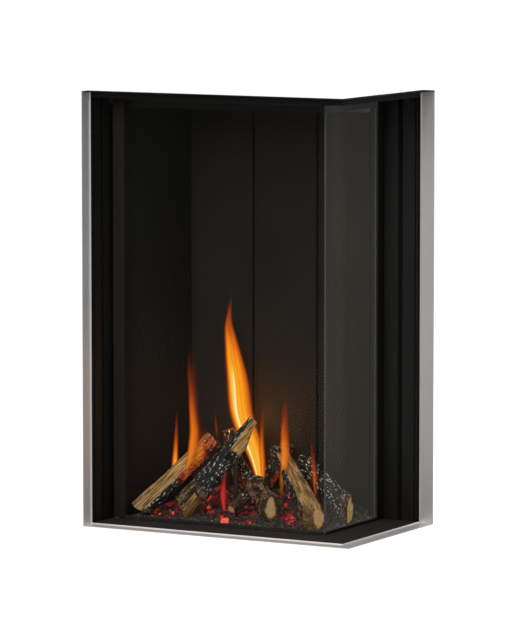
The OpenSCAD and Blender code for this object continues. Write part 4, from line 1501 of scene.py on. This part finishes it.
@dataclass
class Flame:
    """One tongue of flame: a slim closed body along a leaning line.

    Each row of line is x and height of its middle and its width, in millimetres from the
    frame's front right bottom corner; depth is how far back the flame stands.
    """

    name: str
    depth: float
    line: tuple[Triple, ...]
    body: FlameBody
    sides: int = 24
    rings: int = 48
    thickness: float = 0.2

    def build(self, corner: Corner) -> Piece:
        """Shapes a rod into the flame and gives it its UV map.

        Args:
            corner: the fire's measures.

        Returns:
            The flame.
        """
        piece = rod(self.sides, self.rings, Ends.FAN)
        piece.name = self.name
        unit = read_points(piece)
        up = np.clip(unit[:, 2], 0, 1)
        x, z, width = self._along(up)
        half = width / 2 * MM
        start = corner.origin
        points = np.column_stack([start.x + x * MM + unit[:, 0] * half,
                                  start.y + self.depth * MM + unit[:, 1] * half * self.thickness,
                                  start.z + z * MM])
        uv = piece.data.uv_layers.active.data
        shares = (unit[:, 0] + 1) / 2
        for loop in piece.data.loops:
            uv[loop.index].uv = (shares[loop.vertex_index], up[loop.vertex_index])
        write_points(piece, points)
        bpy.ops.object.shade_smooth()
        dress(piece, self.body.build())
        return piece

    def _along(self, up: Array) -> list[Array]:
        """Reads the line, with its corners softened.

        Args:
            up: shares of the line's length.

        Returns:
            The x, height and width of each place in millimetres.
        """
        steps, reach = 200, 8
        fine = np.linspace(0, 1, steps)
        knots = np.linspace(0, 1, len(self.line))
        even = np.ones(2 * reach + 1) / (2 * reach + 1)
        found = []
        for column in np.array(self.line, dtype=float).T:
            padded = np.pad(np.interp(fine, knots, column), reach, mode="edge")
            found.append(np.interp(up, fine, np.convolve(padded, even, mode="valid")))
        return found


@dataclass
class FlameRow:
    """The tongues of flame, from left to right, then the haze and the low red flame."""

    corner: Corner
    flames: tuple[Flame, ...] = (
        Flame("flame_left", 250, (
            (-548, 50, 18), (-547, 84, 22), (-545, 116, 19), (-543, 148, 15), (-541, 184, 11),
            (-538, 242, 4)),
            FlameBody("flame_left_finish", 0.82, 0.95, 1.3, 0.6, 0.5, 0.4, lean=1.25, edge=0.7,
                      tip=0.25)),
        Flame("flame_mid_left", 178, (
            (-476, 80, 5), (-473, 100, 14), (-463, 128, 28), (-454, 156, 38), (-451, 184, 36),
            (-454, 212, 31), (-457, 240, 29), (-458, 268, 28), (-460, 300, 30),
            (-460, 335, 32), (-457, 385, 32)),
            FlameBody("flame_mid_left_finish", 0.74, 0.95, 2.9, 0.28, 0.33, 0.1, lean=0.6,
                      fade=0.4, edge=1.0)),
        Flame("flame_faint", 330, (
            (-486, 150, 14), (-490, 176, 11), (-492, 194, 8), (-493, 222, 2)),
            FlameBody("flame_faint_finish", 0.3, 0.3, 4.1, fade=0.4)),
        Flame("flame_main", 330, (
            (-382, 66, 22), (-389, 109, 44), (-401, 143, 60), (-418, 178, 64), (-430, 213, 66),
            (-434, 248, 65), (-438, 282, 60), (-445, 317, 51), (-452, 352, 40), (-458, 384, 30),
            (-460, 405, 20), (-456, 438, 11), (-452, 478, 3)),
            FlameBody("flame_main_finish", 1.0, 1.4, 5.7, 0.31, 0.5, 1.0, lean=0.95, fade=0.02,
                      edge=0.6, tip=0.5)),
        Flame("flame_companion", 322, (
            (-374, 66, 10), (-374, 109, 17), (-376, 140, 18), (-376, 171, 16), (-374, 205, 13),
            (-371, 262, 4)),
            FlameBody("flame_companion_finish", 0.58, 0.6, 7.3, edge=0.75)),
        Flame("flame_right", 238, (
            (-284, 36, 8), (-283, 69, 14), (-280, 97, 20), (-275, 124, 26), (-274, 152, 29),
            (-275, 179, 28), (-276, 210, 24), (-275, 244, 17), (-274, 292, 4)),
            FlameBody("flame_right_finish", 0.7, 0.9, 8.9, fade=0.7, edge=0.65, tip=0.35)),
        Flame("flame_far_right", 294, (
            (-232, 44, 9), (-233, 70, 16), (-236, 98, 19), (-239, 126, 17), (-241, 155, 12),
            (-243, 204, 4)),
            FlameBody("flame_far_right_finish", 0.42, 0.55, 9.7, fade=0.3)),
        Flame("flame_haze", 200, (
            (-474, 98, 10), (-466, 118, 40), (-458, 140, 54), (-451, 160, 50), (-446, 180, 32),
            (-442, 204, 6)),
            FlameBody("flame_haze_finish", 0.85, 0.26, 13.3, fade=0.5, edge=1.0)),
        Flame("flame_low", 200, (
            (-397, 20, 7), (-400, 40, 16), (-401, 58, 19), (-400, 75, 18), (-397, 93, 14),
            (-394, 120, 4)),
            FlameBody("flame_low_finish", 0.75, 0.9, 11.9, fade=0.06, red=1.0, edge=1.0)))

    def build(self) -> list[Piece]:
        """Makes the flames.

        Returns:
            The flames.
        """
        pieces = []
        for flame in self.flames:
            piece = flame.build(self.corner)
            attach(piece, "root")
            pieces.append(piece)
        return pieces


# ---- Dressing of the frame's own pieces ----

def metal_finishes() -> list[tuple[Finish, tuple[str, ...]]]:
    """The finishes of the trim, casing, flue, burner and controls.

    Returns:
        Each finish with the nodes that it goes on.
    """
    fine = 0.0004
    along_x, along_y, along_z = (0.05, fine, fine), (fine, 0.05, fine), (fine, fine, 0.05)
    return [
        # One brushed steel on all four trim strips: their different tones and tints are painted
        # light and shade.
        (BrushedSteel("trim_grain_left", along_z, (0.7, 0.715, 0.73)), ("trim_left",)),
        (BrushedSteel("trim_grain_right", along_z, (0.61, 0.595, 0.575)), ("trim_right",)),
        (BrushedSteel("trim_grain_across", along_x, (0.9, 0.885, 0.87)), ("trim_bottom_front",)),
        (BrushedSteel("trim_grain_back", along_y, (0.95, 0.935, 0.92)), ("trim_bottom_side",)),
        (GalvanisedSheet("galvanised_casing"),
         ("base_plate", "casing_left", "casing_back", "casing_right", "casing_top",
          "service_box", "service_door", "wall_brackets", "relief_flap")),
        (SpunMetal("rolled_aluminium", (0.7, 0.71, 0.72), (0.012, 0.0005, 0.012), 0.28,
                   (0.45, 0.44, 0.43), 0.3),
         ("flue_collector", "flue_inner_spigot", "flue_outer_spigot", "flue_restrictor",
          "gas_valve")),
        (SpunMetal("heat_tinted_steel", (0.46, 0.43, 0.39), (0.02, fine, fine), 0.34,
                   (0.2, 0.13, 0.16), 0.7),
         ("burner_tray", "burner_tubes", "pilot_burner", "relief_pin", "door_hinge_pins")),
        (SpunMetal("turned_brass", (0.72, 0.5, 0.2), (0.0006, 0.01, 0.01), 0.26),
         ("gas_feed_pipe", "gas_inlet_tap")),
        (SpunMetal("zinc_plate", (0.62, 0.62, 0.6), (0.001, 0.001, 0.001)), ("casing_screws",)),
        (MouldedPlastic("bonded_magnet", (0.012, 0.012, 0.012), 0.55), ("door_magnets",)),
        (MouldedPlastic("knob_plastic", (0.014, 0.014, 0.014), 0.38), ("control_knob",)),
        (MouldedPlastic("lever_enamel", (0.5, 0.02, 0.012), 0.28), ("isolation_lever",)),
    ]


def dark_finishes() -> list[tuple[Finish, tuple[str, ...]]]:
    """The finishes of the painted recess, glass, seals and linings.

    Returns:
        Each finish with the nodes that it goes on.
    """
    black = (0.0002, 0.0002, 0.0002)
    # Painted shade: dark lines in the column grooves, where shade falls.
    left_groove_shade = (SootAndShadeLine(1, -0.174, 0.00312, 0.0052, black),
                    SootAndShadeLine(1, -0.2085, 0.0012, 0.002, black))
    right_groove_shade = (SootAndShadeLine(0, 0.2345, 0.00312, 0.0052, black),
                     SootAndShadeLine(0, 0.269, 0.0012, 0.002, black))
    boards = ("back_panel_left", "back_panel_middle", "back_panel_right")
    edges = [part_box(board)[0].x for board in boards] + [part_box(boards[-1])[1].x]
    return [
        # The top trim strips get a near-black satin finish, darker than the steel strips.
        (SatinPaint("top_trim_dark_finish", (0.0026, 0.0024, 0.0022), 0.5, gloss=0.08),
         ("trim_top_front", "trim_top_side")),
        (SatinPaint("left_column_paint", (0.0062, 0.0055, 0.0047), painted_groove_shade=left_groove_shade),
         ("reveal_left",)),
        (SatinPaint("right_column_paint", (0.0062, 0.0056, 0.005), painted_groove_shade=right_groove_shade),
         ("reveal_right",)),
        (SatinPaint("recess_paint", gloss=0.16), ("soffit_plate", "side_glass_retainer")),
        (SatinPaint("channel_paint", (0.004, 0.0036, 0.0032), 0.55, 0.1),
         ("side_glass_channels",)),
        (SatinPaint("sill_paint", (0.0112, 0.0096, 0.0084), 0.6, grit=0.9),
         ("sill_plate", "door_bottom_rail")),
        (SatinPaint("door_paint", (0.0135, 0.0112, 0.0097), 0.4), ("door_stile", "door_top_rail")),
        (SatinPaint("ceiling_paint", (0.004, 0.0038, 0.0034), 0.55), ("firebox_ceiling",)),
        (SatinPaint("sooted_steel", (0.04, 0.02, 0.014), 0.8), ("log_pegs",)),
        (LiningBoard("lining_finish", joints=tuple(SootAndShadeLine(0, edge) for edge in edges)),
         (*boards, "right_liner")),
        # Painted shade: a darker copy of the lining for the left board.
        (LiningBoard("shaded_lining", (0.0032, 0.0028, 0.0024)), ("left_liner",)),
        (FibreSlab("fibre_slab"), ("back_insulation",)),
        # Each glass's second number is the strength of its painted reflection, stronger on the side
        # glass.
        (CoatedGlass("front_glass", 0.0008), ("door_glass",)),
        (CoatedGlass("side_glass_finish", 0.0102, 0.0005, 0.157), ("side_glass",)),
        (RopeSeal("rope_seal"), ("door_gasket", "side_glass_seals")),
    ]


def dress_frame() -> list[Piece]:
    """Gives every piece that comes with the frame its finish.

    Returns:
        The pieces.
    """
    pieces = []
    for finish, nodes in metal_finishes() + dark_finishes():
        material = finish.build()
        for name in nodes:
            dress(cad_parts[name], material)
            pieces.append(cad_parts[name])
    return pieces


# ---- Studio ----

class LampRole(Enum):
    """What a lamp does in the studio."""

    KEY = "key"
    FILL = "fill"
    TOP = "top"
    FLAME = "flame"
    TONGUE = "tongue"
    EMBER = "ember"


@dataclass(frozen=True)
class Lamp:
    """A soft lamp: a square one outside looks at the fire, a round one glows inside it."""

    role: LampRole
    place: Triple
    size: float
    watts: float
    colour: Colour = (1.0, 1.0, 1.0)
    target: Triple = (0.0, 0.0, 0.45)

    def build(self) -> None:
        """Adds the lamp."""
        inside = self.role in (LampRole.FLAME, LampRole.TONGUE, LampRole.EMBER)
        light = bpy.data.lights.new(f"lamp_{self.role.value}", "POINT" if inside else "AREA")
        light.energy = self.watts
        light.color = self.colour
        setattr(light, "shadow_soft_size" if inside else "size", self.size)
        lamp = bpy.data.objects.new(light.name, light)
        bpy.context.collection.objects.link(lamp)
        lamp.location = self.place
        lamp.visible_camera = False
        lamp.visible_glossy = not inside
        aim = Vector(self.target) - lamp.location
        lamp.rotation_euler = aim.to_track_quat("-Z", "Y").to_euler()


@dataclass
class Studio:
    """Camera, lamps, pale floor and white surroundings."""

    camera_place: Triple = (4.5783, -8.3605, 1.4604)
    camera_tilt: float = 83.78
    camera_turn: float = 28.889
    lens: float = 260.36
    far_clip: float = 200.0
    floor_reach: float = 60.0
    floor_drop: float = 0.5
    floor_lift: float = 0.88
    daylight: float = 0.2
    lamps: tuple[Lamp, ...] = (
        Lamp(LampRole.KEY, (0.6, -4.4, 2.6), 2.4, 110.0),
        Lamp(LampRole.FILL, (4.5, 0.4, 1.9), 2.4, 55.0),
        Lamp(LampRole.TOP, (-1.5, -1.6, 4.2), 2.4, 30.0),
        Lamp(LampRole.FLAME, (-0.112, 0.086, 0.2), 0.045, 1.5, (1.0, 0.38, 0.07)),
        Lamp(LampRole.TONGUE, (-0.168, -0.06, 0.2), 0.012, 0.1, (1.0, 0.45, 0.1)),
        Lamp(LampRole.EMBER, (-0.17, 0.0, 0.06), 0.03, 0.03, (1.0, 0.12, 0.03)))

    def build(self) -> None:
        """Sets up the whole studio."""
        self._camera()
        for lamp in self.lamps:
            lamp.build()
        self._floor()
        self._surroundings()
        bpy.context.scene.view_settings.view_transform = "Standard"

    def _camera(self) -> None:
        """Adds the camera at the photograph's viewing angle."""
        data = bpy.data.cameras.new("view_of_the_corner")
        data.lens = self.lens
        data.clip_end = self.far_clip
        camera = bpy.data.objects.new(data.name, data)
        bpy.context.collection.objects.link(camera)
        camera.location = self.camera_place
        camera.rotation_euler = (math.radians(self.camera_tilt), 0, math.radians(self.camera_turn))
        bpy.context.scene.camera = camera

    def _floor(self) -> None:
        """Adds the floor, which keeps the fire's shadow and looks white."""
        start_clean()
        bpy.ops.mesh.primitive_plane_add(size=2 * self.floor_reach,
                                         location=(0, 0, -self.floor_drop * MM))
        floor = bpy.context.object
        floor.name = "floor"
        settle()
        g = Graph("floor_finish")
        seen = g.node("LightPath", out="Is Camera Ray")
        dress(floor, g.finish(g.shader({
            "Base Color": g.mix((0.74, 0.74, 0.74), (0.78, 0.78, 0.78), g.grain(0.6)),
            "Roughness": 0.9, "Specular IOR Level": 0.1,
            "Emission Color": (1.0, 1.0, 1.0), "Emission Strength": self.floor_lift * seen})))

    def _surroundings(self) -> None:
        """Lights the fire evenly, and shows white to the camera, also through the glass."""
        g = Graph("surroundings", world=True)
        seen = g.node("Math", {"operation": "MAXIMUM"}, {
            0: g.node("LightPath", out="Is Camera Ray"),
            1: g.node("LightPath", out="Is Transmission Ray")})
        level = g.node("MapRange", None, {"Value": seen, "To Min": self.daylight, "To Max": 1.0})
        sky = g.node("Background", None, {"Color": (1.0, 1.0, 1.0), "Strength": level})
        bpy.context.scene.world = g.finish(sky)


def main() -> None:
    """Builds the fire's looks in order and reports each piece."""
    logging.basicConfig(level=logging.INFO, format="%(name)s: %(message)s")
    corner = Corner()
    bed = FuelBed(corner)
    for piece in dress_frame():
        log.info("%s: %s", piece.name, piece.active_material.name)
    for part in (LogPile(corner), bed, Embers(bed), FlameRow(corner)):
        for piece in part.build():
            log.info("%s: %d faces", piece.name, len(piece.data.polygons))
    Studio().build()


if __name__ == "__main__":
    main()
